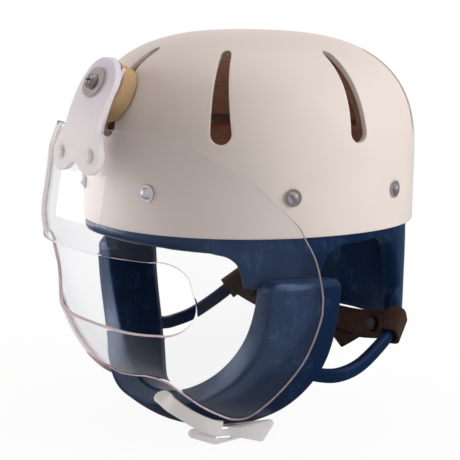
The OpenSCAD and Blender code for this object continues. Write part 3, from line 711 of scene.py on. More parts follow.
def clear_sheet(code):
    """Formed polycarbonate sheet: clear, with sharp reflections, and rosy where it is seen edge on.

    Polycarbonate's index of 1.58 is lowered, so that the helmet shows through the sheet undimmed."""
    material = new_material("clear_polycarbonate", code)
    tree = material.node_tree
    glass = add_node(tree, "ShaderNodeBsdfPrincipled", {
        "Base Color": colour(code),
        "Roughness": 0.02,
        "IOR": 1.22,
        "Transmission Weight": 1})
    facing = add_node(tree, "ShaderNodeLayerWeight", {"Blend": 0.15}).outputs["Facing"]
    edge_on = add_node(
        tree, "ShaderNodeMapRange", {"Value": facing, "From Min": 0.3, "From Max": 0.5},
        interpolation_type="SMOOTHSTEP")
    rosy = add_node(tree, "ShaderNodeBsdfTransparent", {"Color": colour("#f6edf1")})
    seen = add_node(tree, "ShaderNodeMixShader", {0: edge_on, 1: glass, 2: rosy})
    passing = add_node(tree, "ShaderNodeBsdfTransparent", {"Color": colour("#eeedef")})
    shadow = add_node(tree, "ShaderNodeLightPath").outputs["Is Shadow Ray"]
    surface = add_node(tree, "ShaderNodeMixShader", {0: shadow, 1: seen, 2: passing})
    add_node(tree, "ShaderNodeOutputMaterial", {"Surface": surface})
    return material


def cut_edge(code):
    """Softly polished edge of the sheet: pale, it gathers light and reads as a rosy line."""
    material = new_material("polished_sheet_edge", code)
    tree = material.node_tree
    where = add_node(tree, "ShaderNodeTexCoord").outputs["Object"]
    cloudy = add_node(tree, "ShaderNodeTexNoise", {"Vector": where, "Scale": 1 / (8 * MM), "Detail": 3})
    tone = add_node(
        tree, "ShaderNodeMix", {0: cloudy, 6: colour(code), 7: colour("#f4e8ea")}, data_type="RGBA")
    surface = add_node(tree, "ShaderNodeBsdfPrincipled", {
        "Base Color": tone.outputs[2],
        "Roughness": 0.38,
        "IOR": 1.5,
        "Subsurface Weight": 0.3,
        "Subsurface Scale": 3 * MM})
    add_node(tree, "ShaderNodeOutputMaterial", {"Surface": surface})
    return material


def milky_plastic(code):
    """Natural polyethylene plate: milky and waxy, with painted shade that greys its top and painted light
    that whitens it lower down, and soft edges that glow a little.
    """
    material = new_material("natural_polyethylene", code)
    tree = material.node_tree
    where = add_node(tree, "ShaderNodeTexCoord").outputs["Object"]
    height = add_node(tree, "ShaderNodeSeparateXYZ", {0: where}).outputs["Z"]
    # Painted shade and light: the plate is greyer at its top and paler towards its lobes, as light falls on
    # it
    painted_light_low_down = add_node(
        tree, "ShaderNodeMapRange",
        {"Value": height, "From Min": TONGUE_TOP * MM, "From Max": (LOBE_Z + 10) * MM})
    wax = add_node(tree, "ShaderNodeTexNoise", {"Vector": where, "Scale": 1 / (3 * MM), "Detail": 3})
    grain = add_node(tree, "ShaderNodeTexNoise", {"Vector": where, "Scale": 1 / (1.5 * MM), "Detail": 3})
    tone = add_node(
        tree, "ShaderNodeMix", {0: painted_light_low_down, 6: colour(code), 7: colour("#fdf8fc")}, data_type="RGBA")
    surface = add_node(tree, "ShaderNodeBsdfPrincipled", {
        "Base Color": tone.outputs[2],
        "Roughness": add_node(tree, "ShaderNodeMapRange", {"Value": wax, "To Min": 0.34, "To Max": 0.46}),
        "IOR": 1.51,
        "Subsurface Weight": 0.35,
        "Subsurface Radius": (1, 0.9, 1),
        "Subsurface Scale": 4 * MM,
        "Normal": add_node(
            tree, "ShaderNodeBump", {"Height": grain, "Distance": 0.02 * MM, "Strength": 0.5})})
    add_node(tree, "ShaderNodeOutputMaterial", {"Surface": surface})
    return material


def closed_cell_foam(code):
    """Cut closed-cell foam: matt, with a tight pattern of cells. Real cells are 0.3 mm, drawn at 1 mm."""
    material = new_material("cut_tan_foam", code)
    tree = material.node_tree
    where = add_node(tree, "ShaderNodeTexCoord").outputs["Object"]
    cells = add_node(tree, "ShaderNodeTexVoronoi", {"Vector": where, "Scale": 1 / (1 * MM)})
    cloudy = add_node(tree, "ShaderNodeTexNoise", {"Vector": where, "Scale": 1 / (7 * MM), "Detail": 4})
    tone = add_node(
        tree, "ShaderNodeMix", {0: cloudy, 6: colour(code), 7: colour("#c4a67e")}, data_type="RGBA")
    surface = add_node(tree, "ShaderNodeBsdfPrincipled", {
        "Base Color": tone.outputs[2],
        "Roughness": 0.82,
        "Normal": add_node(
            tree, "ShaderNodeBump", {"Height": cells, "Distance": 0.15 * MM, "Strength": 0.5})})
    add_node(tree, "ShaderNodeOutputMaterial", {"Surface": surface})
    return material


def bright_metal(code, name, polish):
    """Turned and plated metal: dark and light streaks from its surroundings, softened by handling."""
    material = new_material(name, code)
    tree = material.node_tree
    where = add_node(tree, "ShaderNodeTexCoord").outputs["Object"]
    grain = add_node(tree, "ShaderNodeTexNoise", {"Vector": where, "Scale": 1 / (0.7 * MM), "Detail": 3})
    cloudy = add_node(tree, "ShaderNodeTexNoise", {"Vector": where, "Scale": 1 / (5 * MM), "Detail": 3})
    tone = add_node(
        tree, "ShaderNodeMix", {0: cloudy, 6: colour(code), 7: colour("#d8d4d6")}, data_type="RGBA")
    surface = add_node(tree, "ShaderNodeBsdfPrincipled", {
        "Base Color": tone.outputs[2],
        "Metallic": 0.75,
        "Roughness": add_node(
            tree, "ShaderNodeMapRange", {"Value": grain, "To Min": polish, "To Max": polish + 0.2}),
        "Normal": add_node(
            tree, "ShaderNodeBump", {"Height": grain, "Distance": 0.02 * MM, "Strength": 0.4})})
    add_node(tree, "ShaderNodeOutputMaterial", {"Surface": surface})
    return material


def woven_webbing(code, lit):
    """Plain-woven polypropylene webbing: rows of 2.2 mm ribs across it, each a lit thread."""
    material = new_material("woven_brown_webbing", code)
    tree = material.node_tree
    where = add_node(tree, "ShaderNodeTexCoord").outputs["Object"]
    apart = add_node(tree, "ShaderNodeSeparateXYZ", {0: add_node(tree, "ShaderNodeUVMap")})
    waves = []
    for axis, count in (("X", RIBS_AROUND), ("Y", RIBS_ALONG)):
        turns = add_node(
            tree, "ShaderNodeMath", {0: apart.outputs[axis], 1: count * 2 * math.pi}, operation="MULTIPLY")
        waves.append(add_node(tree, "ShaderNodeMath", {0: turns}, operation="SINE"))
    weave = add_node(tree, "ShaderNodeMath", {0: waves[0], 1: waves[1]}, operation="MULTIPLY")
    level = add_node(tree, "ShaderNodeMapRange", {"Value": weave, "From Min": -1})
    fibre = add_node(tree, "ShaderNodeTexNoise", {"Vector": where, "Scale": 1 / (1 * MM), "Detail": 5})
    light = add_node(tree, "ShaderNodeMapRange", {"Value": fibre, "To Min": 0.5, "To Max": 1})
    share = add_node(tree, "ShaderNodeMath", {0: level, 1: light}, operation="MULTIPLY")
    tone = add_node(
        tree, "ShaderNodeMix", {0: share, 6: colour(code), 7: colour(lit)}, data_type="RGBA")
    surface = add_node(tree, "ShaderNodeBsdfPrincipled", {
        "Base Color": tone.outputs[2],
        "Roughness": 0.75,
        "Specular IOR Level": 0.25,
        "Sheen Weight": 0.04,
        "Normal": add_node(
            tree, "ShaderNodeBump", {"Height": level, "Distance": 0.45 * MM, "Strength": 0.8})})
    add_node(tree, "ShaderNodeOutputMaterial", {"Surface": surface})
    return material


def soft_white_plastic(code):
    """Moulded soft vinyl strap: pale and satin, a little cloudy."""
    material = new_material("moulded_white_vinyl", code)
    tree = material.node_tree
    where = add_node(tree, "ShaderNodeTexCoord").outputs["Object"]
    cloudy = add_node(tree, "ShaderNodeTexNoise", {"Vector": where, "Scale": 1 / (16 * MM), "Detail": 4})
    satin = add_node(tree, "ShaderNodeTexNoise", {"Vector": where, "Scale": 1 / (4 * MM), "Detail": 3})
    grain = add_node(tree, "ShaderNodeTexNoise", {"Vector": where, "Scale": 1 / (2 * MM), "Detail": 3})
    tone = add_node(
        tree, "ShaderNodeMix", {0: cloudy, 6: colour(code), 7: colour("#ffffff")}, data_type="RGBA")
    surface = add_node(tree, "ShaderNodeBsdfPrincipled", {
        "Base Color": tone.outputs[2],
        "Roughness": add_node(tree, "ShaderNodeMapRange", {"Value": satin, "To Min": 0.42, "To Max": 0.56}),
        "IOR": 1.5,
        "Subsurface Weight": 0.1,
        "Subsurface Scale": 2 * MM,
        "Normal": add_node(
            tree, "ShaderNodeBump", {"Height": grain, "Distance": 0.04 * MM, "Strength": 0.5})})
    add_node(tree, "ShaderNodeOutputMaterial", {"Surface": surface})
    return material


def dark_snap(code):
    """Enamelled snap cap: near black, with one soft highlight."""
    material = new_material("enamelled_snap", code)
    tree = material.node_tree
    where = add_node(tree, "ShaderNodeTexCoord").outputs["Object"]
    cloudy = add_node(tree, "ShaderNodeTexNoise", {"Vector": where, "Scale": 1 / (3 * MM), "Detail": 3})
    grain = add_node(tree, "ShaderNodeTexNoise", {"Vector": where, "Scale": 1 / (1 * MM), "Detail": 3})
    tone = add_node(
        tree, "ShaderNodeMix", {0: cloudy, 6: colour(code), 7: colour("#1c100e")}, data_type="RGBA")
    surface = add_node(tree, "ShaderNodeBsdfPrincipled", {
        "Base Color": tone.outputs[2],
        "Roughness": 0.42,
        "Specular IOR Level": 0.15,
        "Normal": add_node(
            tree, "ShaderNodeBump", {"Height": grain, "Distance": 0.03 * MM, "Strength": 0.4})})
    add_node(tree, "ShaderNodeOutputMaterial", {"Surface": surface})
    return material


def coat(piece, *materials):
    """Gives a piece its materials in place of what it had, and leaves each face its slot."""
    slots = [min(face.material_index, len(materials) - 1) for face in piece.data.polygons]
    piece.data.materials.clear()
    for material in materials:
        piece.data.materials.append(material)
    piece.data.polygons.foreach_set("material_index", slots)


# Pieces

def slot_outline(grow=0):
    """Tapered slot with round ends, seen from the side."""
    low = arc((0, SLOT_LOW + SLOT_LOW_R), SLOT_LOW_R + grow, 180, 360, 16)
    return low + arc((0, SLOT_HIGH - SLOT_HIGH_R), SLOT_HIGH_R + grow, 0, 180, 16)


def slot_cutters(grow=0):
    """One cutter with a finger for each vent slot."""
    fingers = []
    middle = (SLOT_LOW + SLOT_HIGH) / 2
    for angle, lean in SLOTS:
        side = Vector((cos(angle), sin(angle), 0))
        right = side * cos(lean) + Vector((0, 0, sin(lean)))
        up = Vector((0, 0, cos(lean))) - side * sin(lean)
        axes = (Vector((0, 0, middle)) - up * middle, right, up, Vector((sin(angle), -cos(angle), 0)))
        fingers.append(plate("slot_finger", slot_outline(grow), *SLOT_CUT, axes))
    pick_only(*fingers)
    bpy.ops.object.join()
    return bpy.context.object


def make_shell(wall):
    """The hard shell, its rim and the slots' edges rounded."""
    shell = lay_grid(
        "shell_moulding", across=288, up=84, place=lambda u, v: dome_point(360 * u, v, inset=0, low=0))
    weld(shell)
    face_out(shell)
    finish_modifier(shell, "SOLIDIFY", thickness=wall * MM, offset=-1, use_even_offset=True)
    face_out(shell)
    cut(shell, slot_cutters())
    bevel_edges(shell, width=0.9, segments=3, wanted=lambda middle, angle: middle.z < 1 and angle > 60)
    bevel_edges(
        shell, width=0.45, segments=2, wanted=lambda middle, angle: middle.z > SLOT_LOW - 3 and angle > 55)
    smooth(shell, angle=35)
    return shell


def skirt_section(angle):
    """Section of the skirt: outer face, rounded lower edge, inner face, shoulder and upstand."""
    # The skirt stands 1 mm inside the shell's face at the front and 4.5 mm at the back
    back = ((1 - cos(angle)) / 2) ** 1.4
    face = 1 + 3.5 * min(1, 2.4 * back)
    inner = face + SKIRT_THICK
    low = straight(SKIRT_EDGE, abs(angle))
    turn = low + SKIRT_EDGE_R
    outside, inside = UPSTAND_INSETS
    profile = (
        leg((face, SKIRT_SEAT), (face, turn), 10)
        + arc((face + SKIRT_EDGE_R, turn), SKIRT_EDGE_R, 180, 270, 6)[:-1]
        + leg((face + SKIRT_EDGE_R, low), (inner - SKIRT_EDGE_R, low), 5)
        + arc((inner - SKIRT_EDGE_R, turn), SKIRT_EDGE_R, 270, 360, 6)[:-1]
        + leg((inner, turn), (inner, SHOULDER_Z), 10)
        + leg((inner, SHOULDER_Z), (inside, SHOULDER_Z), 4)
        + leg((inside, SHOULDER_Z), (inside, UPSTAND_TOP), 12)
        + leg((inside, UPSTAND_TOP), (outside, UPSTAND_TOP), 4)
        + leg((outside, UPSTAND_TOP), (outside, SKIRT_SEAT), 14))
    points = []
    for inset, z in profile:
        x, y = oval(angle, SHELL_HALF[0] - inset, SHELL_HALF[1] - inset, PLAN_POWER)
        points.append(Vector((x, y, z)))
    return points


def make_skirt():
    """The skirt, skinned, softened, and uneven below the rim as dipped foam is."""
    skirt = lay_sections("padded_skirt", [skirt_section(a / 2) for a in range(-360, 360)], closed=True)
    face_out(skirt)
    voxel_skin(skirt, size=1.9)
    relax(skirt, rounds=6)
    for vertex in skirt.data.vertices:
        spot = vertex.co / MM
        below = -3 - spot.z
        if below > 0:
            out = Vector((spot.x, spot.y, 0)).normalized()
            vertex.co += out * ripple(spot, size=26, depth=0.7) * min(1, below / 12) * MM
    smooth(skirt, angle=180)
    return skirt


def guard_section(turn, draw=0):
    """The chin guard's section, its corners eased and its long faces a little full."""
    corners = guard_corners(turn)
    middle = sum(corners, Vector()) / 4
    points = []
    for i in range(4):
        a, b, c = corners[i], corners[(i + 1) % 4], corners[(i + 2) % 4]
        run = (b - a).normalized()
        start, end = a + run * GUARD_EASE, b - run * GUARD_EASE
        fullness = 0.004 + 0.076 * sin(turn) ** 4 if i == 2 else 0.016
        swell = ((a + b) / 2 - middle).normalized() * (b - a).length * fullness
        points += [start.lerp(end, k / 12) + swell * 4 * (k / 12) * (1 - k / 12) for k in range(13)]
        leave = b + (c - b).normalized() * GUARD_EASE
        for k in (1, 2, 3):
            t = k / 4
            points.append(end * (1 - t) ** 2 + b * 2 * t * (1 - t) + leave * t * t)
    if draw:
        points = [p - (p - middle).normalized() * min(draw, (p - middle).length * 0.6) for p in points]
    return points


def make_chin_guard():
    """The chin guard: rounded upper ends, and a section that turns from each side to the chin."""
    # The rows at an upper end lie level, and those after them fan out round the ring
    half = []
    for draw, step in GUARD_END:
        half.append([Vector((p.x, p.y, GUARD_TOP - step)) for p in guard_section(3, draw)])
    half += [guard_section(turn) for turn in (8.2, 9.6, 11, 12.5)]
    half += [guard_section(14 + 76 * i / 70) for i in range(71)]
    far = [[Vector((-p.x, p.y, p.z)) for p in section] for section in reversed(half[:-1])]
    guard = lay_sections("padded_chin_guard", half + far)
    close_ends(guard)
    for vertex in guard.data.vertices:
        spot = vertex.co / MM
        if spot.z < GUARD_TOP - 4:
            out = Vector((spot.x, 0, spot.z - FACE_Z)).normalized()
            vertex.co += out * ripple(spot, size=30, depth=0.5) * MM
    smooth(guard, angle=50)
    return guard


def strip(name, points, faces, widths, thick, corners, power):
    """Strip along points, flat against a direction at each, with its own width at each."""
    sections = []
    for i, spot in enumerate(points):
        run = (points[min(i + 1, len(points) - 1)] - points[max(i - 1, 0)]).normalized()
        up = faces[i] - run * faces[i].dot(run)
        up.normalize()
        across = run.cross(up)
        ring = []
        for k in range(corners):
            turn = -360 * (k + 0.5) / corners
            ring.append(
                spot + across * widths[i] / 2 * squared(cos(turn), power)
                + up * thick / 2 * squared(sin(turn), power))
        sections.append(ring)
    piece = lay_sections(name, sections)
    close_ends(piece)
    return piece


def follow(route, steps):
    """Evenly numbered points of a smooth route, from its first point to its last."""
    return [on_route(route, (len(route) - 1) * i / steps) for i in range(steps + 1)]


def make_ear_loops():
    """The two ear loops: flattened cords that face away from the head."""
    points = follow(LOOP_ROUTE, 70)
    left = strip(
        "ear_loop_tube_left", points, faces=[Vector((p.x, p.y, 0)) for p in points],
        widths=[LOOP_WIDTH] * len(points), thick=LOOP_THICK, corners=32, power=0.6)
    smooth(left, angle=60)
    right = mirrored(left, "ear_loop_tube_right")
    smooth(right, angle=60)
    return left, right


def make_pads():
    """The headband and the crown pad, which is cut into petals by wider slots than the shell's."""
    # Insets from the shell's face and heights, up the outside, over the top and down the inside
    profile = (
        leg((9, 12), (9, 58), 12) + [(9, 58), (12, 61.4), (15, 61.6), (18, 61)]
        + leg((20.2, 57), (20.2, 13), 12) + [(20.2, 13), (18, 9), (15, 8.3), (12, 8.6)])
    ring = [[shell_point(1.5 * i, z, inset) for inset, z in profile] for i in range(240)]
    headband = lay_sections("headband_cushion", ring, closed=True)
    face_out(headband)
    petals = []
    for i in range(180):
        outer = [dome_point(2 * i, 0.17 + 0.83 * k / 40, inset=5, low=40) for k in range(41)]
        inner = [dome_point(2 * i, 0.17 + 0.83 * k / 40, inset=13.5, low=40) for k in range(40, -1, -1)]
        petals.append(outer + inner)
    crown_pad = lay_sections("crown_cushion", petals, closed=True)
    face_out(crown_pad)
    cut(crown_pad, slot_cutters(grow=3.5))
    for pad, size in ((headband, 4), (crown_pad, 3)):
        voxel_skin(pad, size)
        relax(pad, rounds=3)
        stuff(pad, pressure=3, cap=1.2)
        finish_modifier(pad, "SUBSURF", levels=1, render_levels=1)
        smooth(pad, angle=180)
    return headband, crown_pad


def window_outline():
    """The mouth window in front view, counter-clockwise."""
    x, z = WINDOW_LOW_CORNER
    top_x, top_z = WINDOW_TOP_CORNER
    level_x, level_z = WINDOW_LEVEL
    return (
        [(level_x, level_z)]
        + arc((x, z), WINDOW_LOW_R, -92, 2, 24) + arc((top_x, top_z), WINDOW_TOP_R, 4, 90, 16)
        + arc((-top_x, top_z), WINDOW_TOP_R, 90, 176, 16) + arc((-x, z), WINDOW_LOW_R, 178, 272, 24)
        + [(-level_x, level_z)])


def window_cutter(thick):
    """Cutter of the mouth window, square to the sheet where it goes through."""
    rings = [[], [], [], []]
    for x, z in window_outline():
        face = shield_front(x, z)
        out = shield_normal(math.degrees(math.atan2(face.x, -face.y)), z)
        outer = face + out * CUT_PAST
        inner = face - out * (thick + CUT_PAST)
        stations = (
            Vector((outer.x, IN_FRONT_Y, outer.z)), outer, inner, Vector((inner.x, IN_HEAD_Y, inner.z)))
        for ring, point in zip(rings, stations):
            ring.append(point)
    cutter = lay_sections("window_cutter", rings)
    close_ends(cutter)
    return cutter


def make_shield(thick):
    """The clear sheet with its tongue and mouth window. Its cut faces take the second material."""
    def band(u, v):
        angle = SHIELD_HALF_ANGLE * (2 * u - 1)
        low, high = along(SHIELD_LOWER, abs(angle)), along(SHIELD_UPPER, abs(angle))
        return shield_point(angle, low + (high - low) * v)

    def tongue(u, v):
        angle = TONGUE_HALF_ANGLE * (2 * u - 1)
        low = along(SHIELD_UPPER, abs(angle))
        return shield_point(angle, low + (TONGUE_TOP - low) * v)

    sheet = lay_grid("clear_shield", across=200, up=90, place=band)
    upper = lay_grid("shield_tongue", across=20, up=20, place=tongue)
    pick_only(sheet, upper)
    bpy.ops.object.join()
    weld(sheet)
    face_away(sheet)
    finish_modifier(sheet, "SOLIDIFY", thickness=thick * MM, offset=-1, use_even_offset=True)
    face_out(sheet)
    cut(sheet, window_cutter(thick))
    bevel_edges(sheet, width=0.6, segments=2, wanted=lambda middle, angle: angle > 50)
    smooth(sheet, angle=35)
    skin = 0.2
    for face in sheet.data.polygons:
        spot = face.center / MM
        angle = math.degrees(math.atan2(spot.x, -spot.y))
        out = shield_normal(angle, spot.z)
        depth = (shield_point(angle, spot.z) - spot).dot(out)
        face.material_index = skin < depth < thick - skin or abs(face.normal.dot(out)) < 0.85
    return sheet


def bracket_outline():
    """The bracket in front view: round head, straight neck, two lobes and an arch between them."""
    neck_x, neck_z = NECK
    return (
        arc((0, HEAD_Z), HEAD_R, 0, 180, 36) + [(-neck_x, neck_z)]
        + arc((-LOBE_HALF_PITCH, LOBE_Z), LOBE_R, 167, 305, 22) + arc((0, ARCH_Z), ARCH_R, 150, 30, 18)
        + arc((LOBE_HALF_PITCH, LOBE_Z), LOBE_R, 235, 373, 22) + [(neck_x, neck_z)])


def make_bracket(thick):
    """The milky plate: a slab over the shield's face, cut to its outline."""
    slab = lay_grid(
        "bracket_plate", across=80, up=100,
        place=lambda u, v: shield_front(-33 + 66 * u, 36 + 86 * v, SEAT_GAP))
    face_away(slab)
    finish_modifier(slab, "SOLIDIFY", thickness=thick * MM, offset=1, use_even_offset=True)
    face_out(slab)
    forward = (Vector(), Vector((1, 0, 0)), Vector((0, 0, 1)), Vector((0, -1, 0)))
    cut(slab, plate("bracket_cutter", bracket_outline(), 60, 200, forward), "INTERSECT")
    bevel_edges(slab, width=1.1, segments=4, wanted=lambda middle, angle: angle > 50)
    smooth(slab, angle=35)
    return slab


def meet(test, low, high):
    """Where a rising function crosses zero."""
    for _ in range(24):
        middle = (low + high) / 2
        low, high = (low, middle) if test(middle) > 0 else (middle, high)
    return (low + high) / 2


def make_spacer(sheet):
    """The foam between shell and shield: turned to clear the shell inside, fitted to the sheet outside."""
    def inner_face(spot):
        def past(s):
            p = spot + SCREW_OUT * s - TRAVEL_CENTRE
            reach = TRAVEL_R + SPACER_CLEAR - TRAVEL_SIDE_R + math.sqrt(TRAVEL_SIDE_R ** 2 - p.x ** 2)
            return math.hypot(p.y, p.z) - reach
        return meet(past, -12, 14)

    def outer_face(spot):
        def past(s):
            p = spot + SCREW_OUT * s
            return -p.y + shield_front(p.x, p.z, -sheet - SEAT_GAP).y
        return meet(past, 0, 30)

    # Share of the radius and share of the depth, from the middle of the inner face out to its edge, along
    # the side, which is drawn in a little, and back to the middle of the outer face
    path = [(0.01, 0), (0.4, 0), (0.75, 0), (0.93, 0), (0.98, 0.02), (1, 0.07)]
    path += [(1 - 0.012 * sin(180 * k / 10), 0.07 + 0.86 * k / 10) for k in range(1, 10)]
    path += [(1, 0.93), (0.98, 0.98), (0.93, 1), (0.75, 1), (0.4, 1), (0.01, 1)]
    half_w, half_h = SPACER_HALF
    sections = []
    for share, depth in path:
        ring = []
        for k in range(96):
            spot = SCREW_SEAT + Vector((half_w * share * cos(3.75 * k), 0, 0))
            spot += SCREW_UP * half_h * share * sin(3.75 * k)
            low, high = inner_face(spot), outer_face(spot)
            ring.append(spot + SCREW_OUT * (low + (high - low) * depth))
        sections.append(ring)
    spacer = lay_sections("foam_spacer", sections)
    close_ends(spacer)
    smooth(spacer, angle=50)
    return spacer


def make_wrap(side, thick):
    """Turn of webbing round the ear loop on one side, its weave drawn to the band's own pitch."""
    spot = on_route(LOOP_ROUTE, WRAP_AT)
    run = (on_route(LOOP_ROUTE, WRAP_AT + 0.4) - on_route(LOOP_ROUTE, WRAP_AT - 0.4)).normalized()
    up = Vector((spot.x, spot.y, 0))
    up = (up - run * up.dot(run)).normalized()
    across = run.cross(up)
    ends = (-WEBBING_WIDTH / 2, -5, 0, 5, WEBBING_WIDTH / 2)
    inside = [(2 * WRAP_GAP, end) for end in ends]
    outside = [(2 * WRAP_GAP + 2 * thick, end) for end in reversed(ends)]
    sections = []
    for k in range(48):
        right, rise = squared(cos(7.5 * k), 0.6), squared(sin(7.5 * k), 0.6)
        ring = []
        for grow, end in inside + outside:
            p = (
                spot + run * end + across * (LOOP_WIDTH + grow) / 2 * right
                + up * (LOOP_THICK + grow) / 2 * rise)
            ring.append(Vector((side * p.x, p.y, p.z)))
        sections.append(ring)
    wrap = lay_sections("webbing_wrap", sections, closed=True)
    for corner in wrap.data.uv_layers.active.data:
        corner.uv.y *= WRAP_SHARE
    face_out(wrap)
    bevel_edges(wrap, width=0.4, segments=2, wanted=lambda middle, angle: angle > 60)
    return wrap


def make_webbing(thick):
    """The nape webbing: the band, a wrap round each ear loop and the pointed tail."""
    half = [Vector(p) for p in NAPE_ROUTE]
    points = follow([Vector((-p.x, p.y, p.z)) for p in reversed(half[1:])] + half, 90)
    band = strip(
        "nape_webbing", points, faces=[Vector((p.x, p.y + 12, 0)) for p in points],
        widths=[WEBBING_WIDTH] * len(points), thick=thick, corners=28, power=0.3)
    wraps = [make_wrap(side, thick) for side in (1, -1)]
    tail = plate(
        "webbing_tail", TAIL_OUTLINE, -1, 0.9,
        (Vector((0, TAIL_Y, 0)), Vector((1, 0, 0)), Vector((0, 0, 1)), Vector((0, -1, 0))))
    bevel_edges(tail, width=0.3, segments=2, wanted=lambda middle, angle: angle > 60)
    parts = [band] + wraps + [tail]
    for part in parts:
        smooth(part, angle=45)
    pick_only(*parts)
    bpy.ops.object.join()
    return band


def make_chin_strap():
    """The chin strap's tongue, flat against its facing directions and round at its first end."""
    points = follow(TONGUE_ROUTE, 60)
    widths = []
    for p in points:
        gone = min(STRAP_HALF, (p - points[0]).length + 0.25)
        widths.append(2 * math.sqrt(STRAP_HALF ** 2 - (STRAP_HALF - gone) ** 2))
    strap = strip(
        "chin_strap_tongue", points, faces=follow(TONGUE_FACING, 60), widths=widths, thick=STRAP_THICK,
        corners=28, power=0.4)
    smooth(strap, angle=50)
    return strap


def make_keeper():
    """The strap's keeper: a flat plate with a wide tail and two slots."""
    right = Vector((cos(KEEPER_TURN), sin(KEEPER_TURN), 0))
    out = Vector((sin(KEEPER_TURN), -cos(KEEPER_TURN), 0))
    axes = (Vector(KEEPER_PLACE), right, Vector((0, 0, 1)), out)
    outline = [point for stretch in KEEPER_ARCS for point in arc(*stretch)]
    keeper = plate("strap_keeper_plate", outline, -1, 1, axes)
    for x, y in KEEPER_SLOTS:
        slot = (
            arc((x + KEEPER_SLOT_HALF, y), KEEPER_SLOT_R, -90, 90, 8)
            + arc((x - KEEPER_SLOT_HALF, y), KEEPER_SLOT_R, 90, 270, 8))
        cut(keeper, plate("keeper_slot", slot, -3, 3, axes))
    bevel_edges(keeper, width=0.35, segments=2, wanted=lambda middle, angle: angle > 60)
    smooth(keeper, angle=40)
    return keeper


# Stage

def sight(tree):
    """Whether the eye looks here, straight or through the clear sheet, and whether a shiny face mirrors it.

    Both are 0 for light on its way to a matt surface."""
    ray = add_node(tree, "ShaderNodeLightPath").outputs
    eye = add_node(
        tree, "ShaderNodeMath", {0: ray["Is Camera Ray"], 1: ray["Is Transmission Ray"]}, operation="MAXIMUM")
    direct = add_node(tree, "ShaderNodeMath", {0: ray["Diffuse Depth"], 1: 0.5}, operation="LESS_THAN")
    return [
        add_node(tree, "ShaderNodeMath", {0: way, 1: direct.outputs[0]}, operation="MULTIPLY").outputs[0]
        for way in (eye.outputs[0], ray["Is Glossy Ray"])]


def make_floor():
    """Pale matt floor, which the eye sees as white and a little greyer near the helmet."""
    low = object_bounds()[0].z
    pick_only()
    bpy.ops.mesh.primitive_grid_add(
        x_subdivisions=8, y_subdivisions=8, size=16, location=(0, 0, low - FLOOR_GAP * MM))
    floor = bpy.context.object
    floor.name = "pale_floor"
    bpy.ops.object.transform_apply(location=True)
    paint = new_material("pale_studio_floor", "#fafafa")
    tree = paint.node_tree
    seen, shiny = sight(tree)
    where = add_node(tree, "ShaderNodeTexCoord").outputs["Object"]
    cloudy = add_node(tree, "ShaderNodeTexNoise", {"Vector": where, "Scale": 1 / (700 * MM), "Detail": 3})
    tone = add_node(
        tree, "ShaderNodeMix", {0: cloudy, 6: colour("#f6f6f6"), 7: colour("#fafafa")}, data_type="RGBA")
    matt = add_node(tree, "ShaderNodeBsdfPrincipled", {"Base Color": tone.outputs[2], "Roughness": 0.9})
    dim = add_node(tree, "ShaderNodeEmission", {"Color": (1, 1, 1, 1), "Strength": 0.08})
    unseen = add_node(tree, "ShaderNodeMixShader", {0: shiny, 1: matt, 2: dim})
    white = add_node(tree, "ShaderNodeEmission", {"Color": (1, 1, 1, 1), "Strength": 1})
    away = add_node(tree, "ShaderNodeVectorMath", {0: where}, operation="LENGTH").outputs["Value"]
    fade = add_node(
        tree, "ShaderNodeMapRange",
        {"Value": away, "From Min": 0.2, "From Max": 0.7, "To Min": 0.94, "To Max": 1},
        interpolation_type="SMOOTHSTEP")
    share = add_node(tree, "ShaderNodeMath", {0: seen, 1: fade}, operation="MULTIPLY")
    surface = add_node(tree, "ShaderNodeMixShader", {0: share, 1: unseen, 2: white})
    add_node(tree, "ShaderNodeOutputMaterial", {"Surface": surface})
    coat(floor, paint)
    floor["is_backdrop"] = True


def make_world(room_light):
    """Even light from all round, white to the eye, and a dark room with bright patches in a mirror."""
    world = bpy.data.worlds.new("studio")
    bpy.context.scene.world = world
    world.use_nodes = True
    tree = world.node_tree
    tree.nodes.clear()
    seen, shiny = sight(tree)
    way = add_node(tree, "ShaderNodeTexCoord").outputs["Generated"]
    mirror = DARK_ROOM
    for toward, begins, full, glow in MIRROR_PATCHES:
        near = add_node(
            tree, "ShaderNodeVectorMath", {0: way, 1: Vector(toward).normalized()}, operation="DOT_PRODUCT")
        patch = add_node(
            tree, "ShaderNodeMapRange",
            {"Value": near.outputs["Value"], "From Min": begins, "From Max": full, "To Max": glow},
            interpolation_type="SMOOTHSTEP")
        mirror = add_node(tree, "ShaderNodeMath", {0: mirror, 1: patch}, operation="ADD")
    unseen = add_node(tree, "ShaderNodeMix", {0: shiny, 2: room_light, 3: mirror}, data_type="FLOAT")
    strength = add_node(tree, "ShaderNodeMix", {0: seen, 2: unseen, 3: 1}, data_type="FLOAT")
    hue = add_node(tree, "ShaderNodeMix", {0: seen, 6: colour("#fbefe8"), 7: (1, 1, 1, 1)}, data_type="RGBA")
    sky = add_node(tree, "ShaderNodeBackground", {"Color": hue.outputs[2], "Strength": strength})
    add_node(tree, "ShaderNodeOutputWorld", {"Surface": sky})


